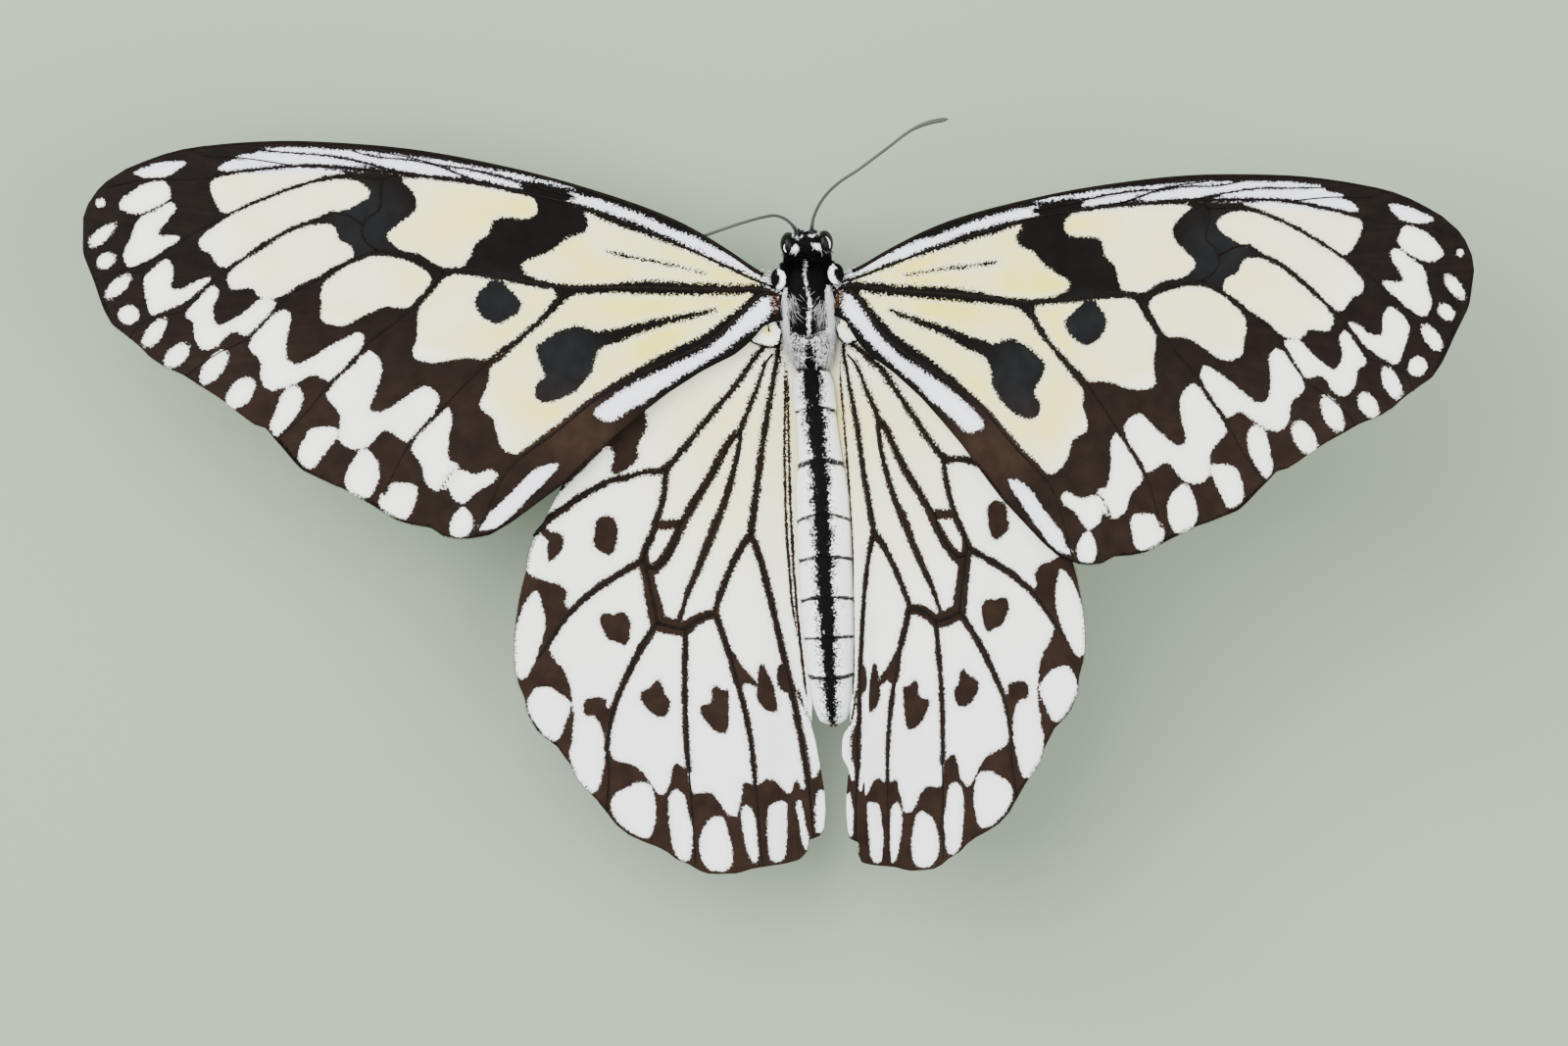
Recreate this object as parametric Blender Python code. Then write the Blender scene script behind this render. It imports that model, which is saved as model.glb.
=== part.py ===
"""Paper kite butterfly, life size, standing on the floor with its wings spread.

The body lies along Y with the head towards +Y, and the wings reach out along X.
Lengths in the tables are millimetres and become metres when a mesh is made.
A wing is described flat: u runs outward from its root, v runs towards the head.
"""

import math

import bmesh
import bpy
import numpy as np
from mathutils import Euler, Matrix, Vector
from mathutils.geometry import delaunay_2d_cdt

MM = 0.001
GAP = 0.3                    # kept between two parts that touch

# Body
THORAX_Z = 9.4               # height of the thorax axis above the floor
THORAX_BACK_Y = -7.0
HEAD_CENTRE = (0.12, 3.45, 9.35)      # held a little to the right
HEAD_HALF = (1.90, 1.28, 1.65)
EYE_CENTRE = (1.55, 3.50, 9.45)       # x is from the middle of the head
EYE_HALF = (0.75, 1.08, 1.22)
BODY_SIDES = 20

# Half width, half height and axis height of the thorax, from its collar to its waist
THORAX_SECTIONS = (
    (1.95, 1.85, 1.45, 9.20),
    (1.45, 2.00, 1.70, 9.25),
    (0.50, 2.20, 2.15, 9.35),
    (-1.00, 2.32, 2.45, 9.45),
    (-2.80, 2.36, 2.50, 9.45),
    (-4.60, 2.22, 2.40, 9.35),
    (-6.10, 1.90, 2.05, 9.25),
    (-7.00, 1.45, 1.65, 9.15),
)
TEGULA_CENTRE = (2.05, 0.55, 11.20)   # the scale cap over each forewing root
TEGULA_HALF = (1.00, 0.95, 0.36)

# Abdomen: radius, axis height and lie to the right at stations along Y, and where its rings meet
ABDOMEN_PROFILE = (
    (-7.3, 1.34, 9.15, 0.07),
    (-8.5, 1.70, 9.15, 0.13),
    (-10.6, 1.82, 9.15, 0.20),
    (-11.5, 1.68, 9.14, 0.24),
    (-13.4, 1.74, 9.12, 0.30),
    (-15.9, 2.00, 9.10, 0.38),
    (-18.5, 2.28, 9.07, 0.42),
    (-23.0, 2.28, 9.00, 0.42),
    (-27.9, 2.26, 8.90, 0.42),
    (-31.2, 2.10, 8.82, 0.42),
    (-34.4, 1.84, 8.74, 0.42),
    (-36.2, 1.63, 8.70, 0.42),
    (-37.2, 1.34, 8.69, 0.42),
    (-37.8, 0.82, 8.68, 0.42),
)
ABDOMEN_RINGS = (-10.8, -15.4, -20.1, -23.65, -27.1, -30.5, -33.9)
RING_GROOVE = 0.93
GROOVE_REACH = 0.45

# Wings
MEMBRANE = 0.5               # thickness of the membrane
RIDGE = 0.2                  # how far a vein stands out of each face
RIDGE_FOOT = 0.25            # the ridge is this much wider on each side than its vein
MARGIN_STEP = 1.5            # spacing of points along the wing's edge
VEIN_STEP = 2.0              # spacing of points along a vein
EDGE_CLEAR = 0.45            # inner points stay this far from the edge
POINT_CLEAR = 0.3            # and this far from each other
FIELD_STEP = 4.5             # spacing of the points between the veins
TUCK = 0.72                  # how far under the body a wing may reach, 1 is not at all
FOREWING_ROOT_Z = 10.6
HINDWING_ROOT_Z = 9.5
FOLD_START = 1.8             # inside this u the hindwing curves down round the abdomen
FOLD_WIDTH = 4.5             # over this width
FOLD_DROP = 1.1              # by this much
PLEAT_END = (-4.1, -48.0)    # hind end of the vein beside which a hindwing is gathered or let out
PLEAT_SLANT = 0.19           # that vein's lean, u for each v
PLEAT_WIDTH = 2.0            # how wide the gathers are
PLEAT_V = (-26.0, -43.0)     # where they start and where they are full
LOBE_V = -39.7               # middle of the small lobe of the inner edge behind the abdomen
LOBE_HALF = 1.6              # half its length
LOBE_REACH = (-0.2, -1.2)    # from the vein inward: where it starts to bulge and where it bulges in full

# Legs: points from the hip to the claw, outward x, y, and height, with the radius
LEG_SIDES = 8
LEG_MID = (
    (0.95, -2.3, 6.70, 0.42),
    (1.60, -2.2, 6.40, 0.45),
    (3.00, -1.8, 6.60, 0.42),
    (4.80, -1.3, 7.20, 0.36),
    (5.60, -0.8, 6.20, 0.32),
    (7.10, 0.2, 2.60, 0.28),
    (7.80, 0.7, 0.70, 0.28),
    (8.30, 1.1, 0.24, 0.30),
    (9.20, 1.8, 0.24, 0.30),
    (10.10, 2.5, 0.24, 0.28),
    (10.50, 2.8, 0.24, 0.16),
)
LEG_HIND = (
    (0.90, -4.9, 6.72, 0.40),
    (1.50, -5.3, 6.35, 0.45),
    (2.60, -7.0, 6.40, 0.42),
    (4.30, -9.8, 6.90, 0.36),
    (4.90, -11.0, 6.10, 0.32),
    (6.20, -14.6, 2.40, 0.28),
    (6.90, -16.6, 0.70, 0.28),
    (7.20, -17.5, 0.24, 0.30),
    (7.70, -19.6, 0.24, 0.30),
    (8.15, -21.4, 0.24, 0.28),
    (8.30, -22.0, 0.24, 0.16),
)
LEG_FORE = (
    (0.85, 0.60, 6.95, 0.34),
    (1.05, 1.70, 6.35, 0.32),
    (1.10, 2.90, 6.05, 0.28),
    (1.05, 3.35, 5.70, 0.26),
    (0.95, 2.60, 5.35, 0.25),
    (0.90, 1.50, 5.30, 0.20),
)

ANTENNA_RIGHT = (
    (0.66, 4.44, 10.70),
    (0.74, 4.85, 11.00),
    (0.92, 5.64, 11.00),
    (1.50, 6.78, 11.05),
    (2.33, 7.78, 11.15),
    (3.43, 8.64, 11.30),
    (4.95, 9.51, 11.55),
    (7.38, 11.10, 12.00),
    (9.85, 12.70, 12.45),
    (11.40, 13.22, 12.70),
    (13.00, 13.43, 12.90),
)
ANTENNA_LEFT = (
    (-0.64, 4.42, 10.66),
    (-0.76, 4.82, 10.98),
    (-1.45, 5.58, 11.05),
    (-2.33, 5.97, 10.95),
    (-3.24, 5.94, 10.70),
    (-5.22, 5.54, 10.30),
    (-7.20, 5.01, 10.00),
    (-9.50, 4.38, 9.80),
    (-12.60, 3.75, 9.80),
    (-16.00, 3.35, 10.05),
)
ANTENNA_RADIUS = 0.25
ANTENNA_CLUB = 0.30
ANTENNA_TIP = 0.15
ANTENNA_STEP = 1.4

PALP = (
    (0.66, 3.95, 7.30, 0.25),
    (0.70, 4.36, 7.45, 0.27),
    (0.70, 4.60, 7.85, 0.24),
    (0.66, 4.72, 8.22, 0.14),
)

COIL_CENTRE = (0.0, 3.30, 5.80)
COIL_RADIUS = 0.26
COIL_INNER = 0.40
COIL_PITCH = 0.82
COIL_TURNS = 1.15
COIL_START = 92.0            # degrees, where the coil leaves the head

BLACK_SCALES = ("butterfly_black", (0.02, 0.016, 0.014), 0.75)
EYE_GLOSS = ("butterfly_eye", (0.012, 0.010, 0.009), 0.18)
WING_SCALES = ("butterfly_wing", (0.84, 0.83, 0.78), 0.7)
LEG_CUTICLE = ("butterfly_leg", (0.03, 0.027, 0.025), 0.5)

# Forewing edge from the thorax along the front, round the tip and back
FOREWING_EDGE = (
    (1.2, 1.4), (5.2, 3.9), (10.1, 6.4), (16.7, 8.5), (24.9, 10.5), (33.9, 11.8),
    (42.1, 12.2), (48.7, 11.8), (53.7, 10.5), (57.0, 8.7), (58.9, 6.0), (59.1, 3.2),
    (58.0, -0.3), (56.5, -3.8), (53.2, -6.7), (49.0, -9.1), (45.2, -11.8),
    (42.5, -13.7), (40.1, -16.4), (36.4, -18.1), (33.0, -20.1), (29.9, -21.3),
    (26.8, -22.3), (23.9, -21.9), (19.9, -19.3), (15.0, -15.2), (10.0, -10.8),
    (5.7, -7.9), (2.8, -6.2), (0.9, -4.5),
)
FOREWING_ROOT_Y = (0.9, -3.0)

FOREWING_VEINS = (
    (0.5, ((1.2, 0.3), (6.8, 2.9), (13.4, 5.5), (18.3, 7.2), (24.9, 8.6), (31.4, 9.4),
           (37.2, 9.9), (43.8, 9.7), (50.0, 8.8), (57.0, 8.0))),
    (0.3, ((31.4, 9.4), (36.4, 10.8), (43.8, 11.3))),
    (0.8, ((1.0, -0.6), (6.8, -0.5), (13.4, -0.4), (18.3, -0.4), (23.2, 0.5), (28.0, 1.0))),
    (0.4, ((28.0, 1.0), (33.3, 2.6), (35.4, 4.4), (33.4, 6.6), (33.6, 8.2), (31.4, 9.4))),
    (0.35, ((33.6, 8.2), (40.0, 8.4), (46.1, 6.0), (51.0, 3.2), (57.6, -0.9))),
    (0.35, ((35.4, 4.4), (40.5, 4.8), (46.6, 1.0), (50.2, -2.4), (54.9, -5.3))),
    (0.35, ((33.3, 2.6), (38.9, 0.1), (43.1, -3.2), (49.4, -8.7))),
    (0.35, ((28.0, 1.0), (32.0, -3.4), (37.9, -9.0), (42.2, -13.6))),
    (0.4, ((18.3, -0.4), (21.6, -5.0), (27.8, -10.6), (34.0, -18.9))),
    (0.6, ((1.8, -2.0), (5.1, -5.1), (10.1, -7.4), (16.7, -11.5), (21.6, -15.4), (25.4, -21.6))),
)

# Hindwing edge from its root along the hidden front, round the outside and back
HINDWING_EDGE = (
    (1.6, -3.4), (5.0, -5.6), (9.5, -8.6), (14.0, -12.6), (17.6, -16.8), (20.0, -20.9),
    (21.2, -25.4), (22.0, -30.0), (21.8, -34.2), (20.4, -38.1), (17.8, -41.1),
    (15.9, -43.6), (12.2, -47.5), (8.1, -49.7), (4.2, -51.2), (-0.8, -50.2),
    (-3.6, -49.3), (-5.0, -46.8), (-4.9, -43.4), (-4.2, -39.6),
)
HINDWING_ROOT_Y = (-36.2, -34.4, -31.2, -27.9, -24.5, -21.5, -18.5, -15.9, -13.4, -10.6, -8.5, -7.0, -6.1,
                   -4.6, -3.4)

HINDWING_VEINS = (
    (0.45, ((1.4, -5.6), (4.2, -10.8), (8.7, -16.3), (14.9, -17.8), (20.4, -22.3))),
    (0.4, ((8.7, -16.3), (9.6, -20.7), (10.7, -23.9))),
    (0.45, ((1.4, -5.6), (2.4, -13.2), (5.0, -16.8), (7.8, -20.9), (10.7, -23.9))),
    (0.35, ((2.4, -13.2), (4.4, -20.6), (7.0, -27.0), (9.5, -29.4))),
    (0.45, ((-0.4, -7.2), (0.3, -13.2), (1.4, -21.8), (4.5, -28.6))),
    (0.3, ((1.4, -21.8), (-0.9, -29.5), (-2.9, -38.5), (-4.0, -48.0))),
    (0.6, ((10.7, -23.9), (9.5, -29.4), (7.1, -29.9), (4.5, -28.6))),
    (0.4, ((10.7, -23.9), (15.3, -26.8), (21.6, -34.6))),
    (0.35, ((9.5, -29.4), (12.6, -34.9), (14.0, -45.4))),
    (0.35, ((7.1, -29.9), (7.0, -40.0), (6.2, -50.0))),
    (0.35, ((4.5, -28.6), (2.0, -37.0), (0.5, -50.0))),
)


def ease(low, high, x):
    """Rises smoothly from 0 at low to 1 at high."""
    t = min(max((x - low) / (high - low), 0.0), 1.0)
    return t * t * (3.0 - 2.0 * t)


class WingPlace:
    """Where a flat wing goes: turned about its root, then set beside the thorax."""

    def __init__(self, side, root, dihedral, sweep, twist, bend, stretch, fold=False, pleat=0.0, lobe=0.0):
        self.side = side
        self.root = root
        self.bend = bend
        self.stretch = stretch
        self.fold = fold
        self.pleat = pleat
        self.lobe = lobe
        self.turn = (
            Matrix.Rotation(math.radians(-dihedral), 3, "Y")
            @ Matrix.Rotation(math.radians(sweep), 3, "Z")
            @ Matrix.Rotation(math.radians(twist), 3, "X")
        )

    def gathered(self, u, v):
        """How far pleats carry the flat point (u, v) outward, near a hindwing's hind inner corner."""
        beside = u - PLEAT_END[0] - PLEAT_SLANT * (v - PLEAT_END[1])
        start = PLEAT_WIDTH if self.pleat > 0 else 0.0
        shift = self.pleat * ease(start, start - PLEAT_WIDTH, beside) * ease(*PLEAT_V, v)
        bulge = ease(*LOBE_REACH, beside) * math.exp(-(((v - LOBE_V) / LOBE_HALF) ** 4))
        return shift - self.lobe * bulge

    def at(self, u, v, w):
        """Place of the flat point (u, v) that lies w above the wing's middle."""
        u += self.gathered(u, v)
        slope = 2.0 * self.bend / 60.0
        x = u * self.stretch - slope * slope * u ** 3 / 6.0
        z = w + self.bend * u * u / 60.0
        if self.fold and u < FOLD_START:
            inward = min((FOLD_START - u) / FOLD_WIDTH, 1.0)
            z -= FOLD_DROP * inward * inward * (3.0 - 2.0 * inward)
        p = self.turn @ Vector((x, v, z)) + Vector(self.root)
        return Vector((p.x * self.side, p.y, p.z))

    def flat(self, x, y, u, v):
        """Flat point whose place has the given distance from the middle and the given y."""
        for _ in range(30):
            p = self.at(u, v, 0.0)
            u += 0.6 * (x - p.x * self.side)
            v += 0.6 * (y - p.y)
        return u, v


# Each wing: side, root, dihedral, sweep, twist, bend and stretch, and which outline it has
WINGS = {
    "forewing_l": (WingPlace(-1, (3.44, 0.18, FOREWING_ROOT_Z), 10.0, 3.0, -4.0, -0.06, 0.995), "fore"),
    "forewing_r": (WingPlace(1, (3.70, 0.18, FOREWING_ROOT_Z), 25.0, -8.1, -8.0, 0.055, 1.01), "fore"),
    "hindwing_l": (
        WingPlace(-1, (3.44, 0.34, HINDWING_ROOT_Z), 10.0, 2.7, 0.0, 0.0, 1.0, fold=True, pleat=-0.45),
        "hind",
    ),
    "hindwing_r": (
        WingPlace(1, (3.04, -0.03, HINDWING_ROOT_Z), 27.0, 3.2, -2.9, 0.014, 0.98,
                  fold=True, pleat=0.87, lobe=0.8),
        "hind",
    ),
}


def material(spec):
    """The Principled material of a (name, colour, roughness) triple, made once."""
    name, colour, roughness = spec
    found = bpy.data.materials.get(name)
    if found:
        return found
    made = bpy.data.materials.new(name)
    made.use_nodes = True
    shader = made.node_tree.nodes["Principled BSDF"]
    shader.inputs["Base Color"].default_value = (*colour, 1.0)
    shader.inputs["Roughness"].default_value = roughness
    return made


def make_object(name, points, faces, spec):
    """An object from points in millimetres and faces, all triangles, facing out."""
    mesh = bpy.data.meshes.new(name)
    mesh.from_pydata([tuple(c * MM for c in p) for p in points], [], faces)
    shell = bmesh.new()
    shell.from_mesh(mesh)
    bmesh.ops.triangulate(shell, faces=shell.faces)
    bmesh.ops.recalc_face_normals(shell, faces=shell.faces)
    shell.to_mesh(mesh)
    shell.free()
    mesh.shade_smooth()
    mesh.materials.append(material(spec))
    made = bpy.data.objects.new(name, mesh)
    bpy.context.scene.collection.objects.link(made)
    return made


def curve_through(points, step):
    """Points about a step apart on a centripetal Catmull-Rom curve that keeps every given point."""
    pts = [np.array(p, float) for p in points]
    pts = [2 * pts[0] - pts[1]] + pts + [2 * pts[-1] - pts[-2]]
    result = []
    for a, b, c, d in zip(pts, pts[1:], pts[2:], pts[3:]):
        count = max(1, round(float(np.linalg.norm(c - b)) / step))
        ta = 0.0
        tb = ta + math.sqrt(max(np.linalg.norm(b - a), 1e-6))
        tc = tb + math.sqrt(max(np.linalg.norm(c - b), 1e-6))
        td = tc + math.sqrt(max(np.linalg.norm(d - c), 1e-6))
        for i in range(count):
            t = tb + (tc - tb) * i / count
            ab = a + (b - a) * (t - ta) / (tb - ta)
            bc = b + (c - b) * (t - tb) / (tc - tb)
            cd = c + (d - c) * (t - tc) / (td - tc)
            abc = ab + (bc - ab) * (t - ta) / (tc - ta)
            bcd = bc + (cd - bc) * (t - tb) / (td - tb)
            result.append(abc + (bcd - abc) * (t - tb) / (tc - tb))
    result.append(pts[-2])
    return result


def loft(name, rings, spec):
    """A closed body through rings of equal count, with a flat face at each end."""
    count = len(rings[0])
    points = [p for ring in rings for p in ring]
    faces = [tuple(reversed(range(count)))]
    for k in range(len(rings) - 1):
        for i in range(count):
            j = (i + 1) % count
            faces.append((k * count + i, k * count + j, (k + 1) * count + j, (k + 1) * count + i))
    last = (len(rings) - 1) * count
    faces.append(tuple(range(last, last + count)))
    return make_object(name, points, faces, spec)


def oval_ring(centre, half_width, half_height, count=BODY_SIDES):
    """An upright oval across the body's length."""
    x, y, z = centre
    ring = []
    for i in range(count):
        a = math.tau * (i + 0.5) / count
        ring.append((x + half_width * math.cos(a), y, z + half_height * math.sin(a)))
    return ring


def tube(name, path, radii, sides, spec, floor=False):
    """A tube along a path. A foot's points are kept at or above the floor, which makes it flat."""
    rings = []
    points = [Vector(p) for p in path]
    across = None
    for i, p in enumerate(points):
        ahead = points[min(i + 1, len(points) - 1)] - points[max(i - 1, 0)]
        ahead.normalize()
        if across is None:
            across = ahead.cross(Vector((0, 0, 1)) if abs(ahead.z) < 0.9 else Vector((0, 1, 0)))
        if floor:
            across = ahead.cross(Vector((0, 0, 1)))
        across = (across - ahead * across.dot(ahead)).normalized()
        up = across.cross(ahead).normalized()
        ring = []
        for k in range(sides):
            a = math.tau * (k + 0.5) / sides
            q = p + across * (radii[i] * math.cos(a)) + up * (radii[i] * math.sin(a))
            if floor:
                q.z = max(q.z, 0.0)
            ring.append(tuple(q))
        rings.append(ring)
    return loft(name, rings, spec)


def ellipsoid(name, centre, half, spec, grow=0.0, segments=20, rings=12):
    """A ball stretched to its three half sizes."""
    shell = bmesh.new()
    bmesh.ops.create_uvsphere(shell, u_segments=segments, v_segments=rings, radius=1.0)
    for vert in shell.verts:
        vert.co = Vector([centre[k] + vert.co[k] * (half[k] + grow) for k in range(3)])
    shell.faces.ensure_lookup_table()
    points = [tuple(v.co) for v in shell.verts]
    faces = [tuple(v.index for v in f.verts) for f in shell.faces]
    shell.free()
    return make_object(name, points, faces, spec)


def apply_modifiers(target):
    """Bakes an object's modifiers into its mesh and triangulates it."""
    graph = bpy.context.evaluated_depsgraph_get()
    mesh = bpy.data.meshes.new_from_object(target.evaluated_get(graph))
    target.modifiers.clear()
    target.data = mesh
    shell = bmesh.new()
    shell.from_mesh(mesh)
    bmesh.ops.remove_doubles(shell, verts=shell.verts, dist=0.000002)
    bmesh.ops.triangulate(shell, faces=shell.faces)
    shell.to_mesh(mesh)
    shell.free()


def combine(target, others, operation):
    """Joins or cuts the target with the other objects in one Boolean, then removes them."""
    group = bpy.data.collections.new(target.name + "_tools")
    bpy.context.scene.collection.children.link(group)
    for other in others:
        bpy.context.scene.collection.objects.unlink(other)
        group.objects.link(other)
    change = target.modifiers.new(operation.lower(), "BOOLEAN")
    change.operation = operation
    change.operand_type = "COLLECTION"
    change.collection = group
    change.solver = "EXACT"
    bpy.context.view_layer.update()
    apply_modifiers(target)
    for other in others:
        bpy.data.objects.remove(other)
    bpy.data.collections.remove(group)


def interpolate(table, y):
    """Sizes at y from a table of sections, read straight between its two neighbours."""
    rows = sorted(table)
    ys = [r[0] for r in rows]
    return [float(np.interp(y, ys, [r[k] for r in rows])) for k in range(1, len(rows[0]))]


def abdomen_radius(y):
    """Radius of the abdomen at y, with its grooves."""
    radius = interpolate(ABDOMEN_PROFILE, y)[0]
    near = min(abs(y - ring) for ring in ABDOMEN_RINGS)
    return radius * (RING_GROOVE if near < 1e-6 else 1.0)


def body_edge(y, z, side):
    """Distance from the middle at which both faces of a wing clear the body at this y and height."""
    if y > THORAX_BACK_Y - GAP / 2:
        half_width, half_height, axis = interpolate(THORAX_SECTIONS, y)
        shift = 0.0
    else:
        half_width, axis, lie = interpolate(ABDOMEN_PROFILE, y)
        half_height = half_width
        shift = lie * side
    level = min(max(abs(z - axis) - MEMBRANE / 2, 0.0) / half_height, 1.0)
    return half_width * math.sqrt(max(1.0 - level * level, TUCK)) + GAP + shift


def root_points(place, levels):
    """Flat points of a wing's inner edge, where it clears the body at each y."""
    result = []
    u, v = -1.2, levels[0]
    for y in levels:
        v = y
        for _ in range(12):
            p = place.at(u, v, 0.0)
            u, v = place.flat(body_edge(y, p.z, place.side), y, u, v)
        result.append((u, v))
    return result


def forewing_outline(place):
    """Closed edge of a forewing, with its root fitted to the thorax."""
    root = root_points(place, np.linspace(FOREWING_ROOT_Y[1], FOREWING_ROOT_Y[0], 5))
    free = curve_through(FOREWING_EDGE, MARGIN_STEP)
    return [tuple(p) for p in free] + [tuple(p) for p in root]


def hindwing_outline(place):
    """Closed edge of a hindwing, with its inner edge fitted to the abdomen and thorax."""
    root = root_points(place, HINDWING_ROOT_Y)
    free = curve_through(HINDWING_EDGE, MARGIN_STEP)
    return [tuple(p) for p in free] + [tuple(p) for p in root]


def edge_distance(p, outline):
    """Distance from a flat point to the outline, negative outside it."""
    a = np.array(outline)
    b = np.roll(a, -1, axis=0)
    d = b - a
    t = np.clip(((p - a) * d).sum(1) / (d * d).sum(1), 0, 1)
    near = np.sqrt((((a + d * t[:, None]) - p) ** 2).sum(1)).min()
    crosses = (a[:, 1] > p[1]) != (b[:, 1] > p[1])
    at = a[:, 0] + (p[1] - a[:, 1]) * d[:, 0] / np.where(d[:, 1] == 0, 1e-12, d[:, 1])
    inside = int((crosses & (at > p[0])).sum()) % 2 == 1
    return float(near if inside else -near)


def vein_points(outline, veins):
    """Points, edges and ridge marks of the veins inside an outline."""
    points, edges, crest = list(outline), [], [False] * len(outline)
    edges += [(i, (i + 1) % len(outline)) for i in range(len(outline))]

    def add(p, raised, clear):
        p = np.array(p, float)
        have = np.array(points)
        gaps = np.sqrt(((have - p) ** 2).sum(1))
        nearest = int(gaps.argmin())
        if raised and crest[nearest] and gaps[nearest] < clear:
            return nearest
        if gaps[nearest] < clear or edge_distance(p, outline) < EDGE_CLEAR:
            return None
        points.append((float(p[0]), float(p[1])))
        crest.append(raised)
        return len(points) - 1

    lines = [(width, curve_through(route, VEIN_STEP)) for width, route in veins]
    for _, line in lines:
        last = None
        for p in line:
            index = add(p, True, POINT_CLEAR)
            if index is not None and last is not None and index != last:
                edges.append((last, index))
            last = index
    for width, line in lines:
        for a, b in zip(line, line[1:]):
            along = (b - a) / np.linalg.norm(b - a)
            out = np.array((-along[1], along[0])) * (width / 2 + RIDGE_FOOT)
            for foot in (a + out, a - out):
                add(foot, False, 0.42)
    low = np.array(outline).min(0)
    high = np.array(outline).max(0)
    for row, v in enumerate(np.arange(low[1], high[1], FIELD_STEP * 0.87)):
        for u in np.arange(low[0] + (row % 2) * FIELD_STEP / 2, high[0], FIELD_STEP):
            add((u, v), False, FIELD_STEP * 0.4)
    return points, edges, crest


def make_wing(name, place, outline, veins):
    """A wing of even thickness whose veins stand out of both faces, triangles alike on both."""
    points, edges, crest = vein_points(outline, veins)
    flat = [Vector(p) for p in points]
    placed, _, triangles, _, _, _ = delaunay_2d_cdt(flat, edges, [], 1, 1e-5)
    count = len(placed)
    lookup = {(round(p[0], 4), round(p[1], 4)): raised for p, raised in zip(points, crest)}
    top, bottom = [], []
    for p in placed:
        raised = lookup.get((round(p.x, 4), round(p.y, 4)), False)
        half = MEMBRANE / 2 + (RIDGE if raised else 0.0)
        top.append(tuple(place.at(p.x, p.y, half)))
        bottom.append(tuple(place.at(p.x, p.y, -half)))
    faces = [tuple(t) for t in triangles]
    rim = {}
    for t in faces:
        for a, b in ((t[0], t[1]), (t[1], t[2]), (t[2], t[0])):
            if (b, a) in rim:
                del rim[(b, a)]
            else:
                rim[(a, b)] = True
    shell = list(faces) + [tuple(i + count for i in reversed(t)) for t in faces]
    for a, b in rim:
        shell.append((b, a, a + count))
        shell.append((b, a + count, b + count))
    return make_object(name, top + bottom, shell, WING_SCALES)


def make_thorax():
    """Thorax with the two scale caps over the wing roots grown from its shoulders."""
    rings = [oval_ring((0, y, z), w, h) for y, w, h, z in THORAX_SECTIONS]
    thorax = loft("thorax", rings, BLACK_SCALES)
    caps = []
    for side in (-1, 1):
        centre = (side * TEGULA_CENTRE[0], TEGULA_CENTRE[1], TEGULA_CENTRE[2])
        caps.append(ellipsoid("tegula", centre, TEGULA_HALF, BLACK_SCALES, segments=14, rings=8))
    combine(thorax, caps, "UNION")


def make_abdomen():
    """Abdomen as a run of rings with a shallow groove between each two."""
    ys = set(row[0] for row in ABDOMEN_PROFILE)
    for ring in ABDOMEN_RINGS:
        ys.update((ring, ring + GROOVE_REACH, ring - GROOVE_REACH))
        ys.add(ring + 2.0)
    kept = []
    for y in sorted(ys, reverse=True):
        if y <= ABDOMEN_PROFILE[0][0] and (not kept or kept[-1] - y > 0.3 or y in ABDOMEN_RINGS):
            kept.append(y)
    rings = []
    for y in kept:
        radius = abdomen_radius(y)
        _, axis, lie = interpolate(ABDOMEN_PROFILE, y)
        rings.append(oval_ring((lie, y, axis), radius, radius))
    return loft("abdomen", rings, BLACK_SCALES)


def make_head():
    """Head capsule with a socket for each eye and a flat nape towards the thorax."""
    head = ellipsoid("head", HEAD_CENTRE, HEAD_HALF, BLACK_SCALES, segments=24, rings=14)
    cutters = []
    for side in (-1, 1):
        centre = (HEAD_CENTRE[0] + side * EYE_CENTRE[0], EYE_CENTRE[1], EYE_CENTRE[2])
        cutters.append(ellipsoid("socket", centre, EYE_HALF, EYE_GLOSS, grow=GAP))
    nape = make_box("nape", (-3, -1, 6), (3, THORAX_SECTIONS[0][0] + GAP, 13), BLACK_SCALES)
    combine(head, cutters + [nape], "DIFFERENCE")
    return head


def make_box(name, low, high, spec):
    """A box between two corners."""
    points = [(x, y, z) for x in (low[0], high[0]) for y in (low[1], high[1]) for z in (low[2], high[2])]
    faces = [(0, 1, 3, 2), (4, 6, 7, 5), (0, 4, 5, 1), (2, 3, 7, 6), (0, 2, 6, 4), (1, 5, 7, 3)]
    return make_object(name, points, faces, spec)


def make_eyes():
    """Both eyes, domes that fill their sockets."""
    for side, tag in ((-1, "l"), (1, "r")):
        centre = (HEAD_CENTRE[0] + side * EYE_CENTRE[0], EYE_CENTRE[1], EYE_CENTRE[2])
        ellipsoid("eye_" + tag, centre, EYE_HALF, EYE_GLOSS)


def make_antennae():
    """Both feelers, thin to their slim clubs."""
    for route, tag in ((ANTENNA_LEFT, "l"), (ANTENNA_RIGHT, "r")):
        path = curve_through(route, ANTENNA_STEP)
        radii = []
        for i in range(len(path)):
            t = i / (len(path) - 1)
            club = ANTENNA_CLUB if 0.8 < t < 0.97 else ANTENNA_RADIUS
            radii.append(ANTENNA_TIP if i == len(path) - 1 else club)
        tube("antenna_" + tag, path, radii, 6, BLACK_SCALES)


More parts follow.
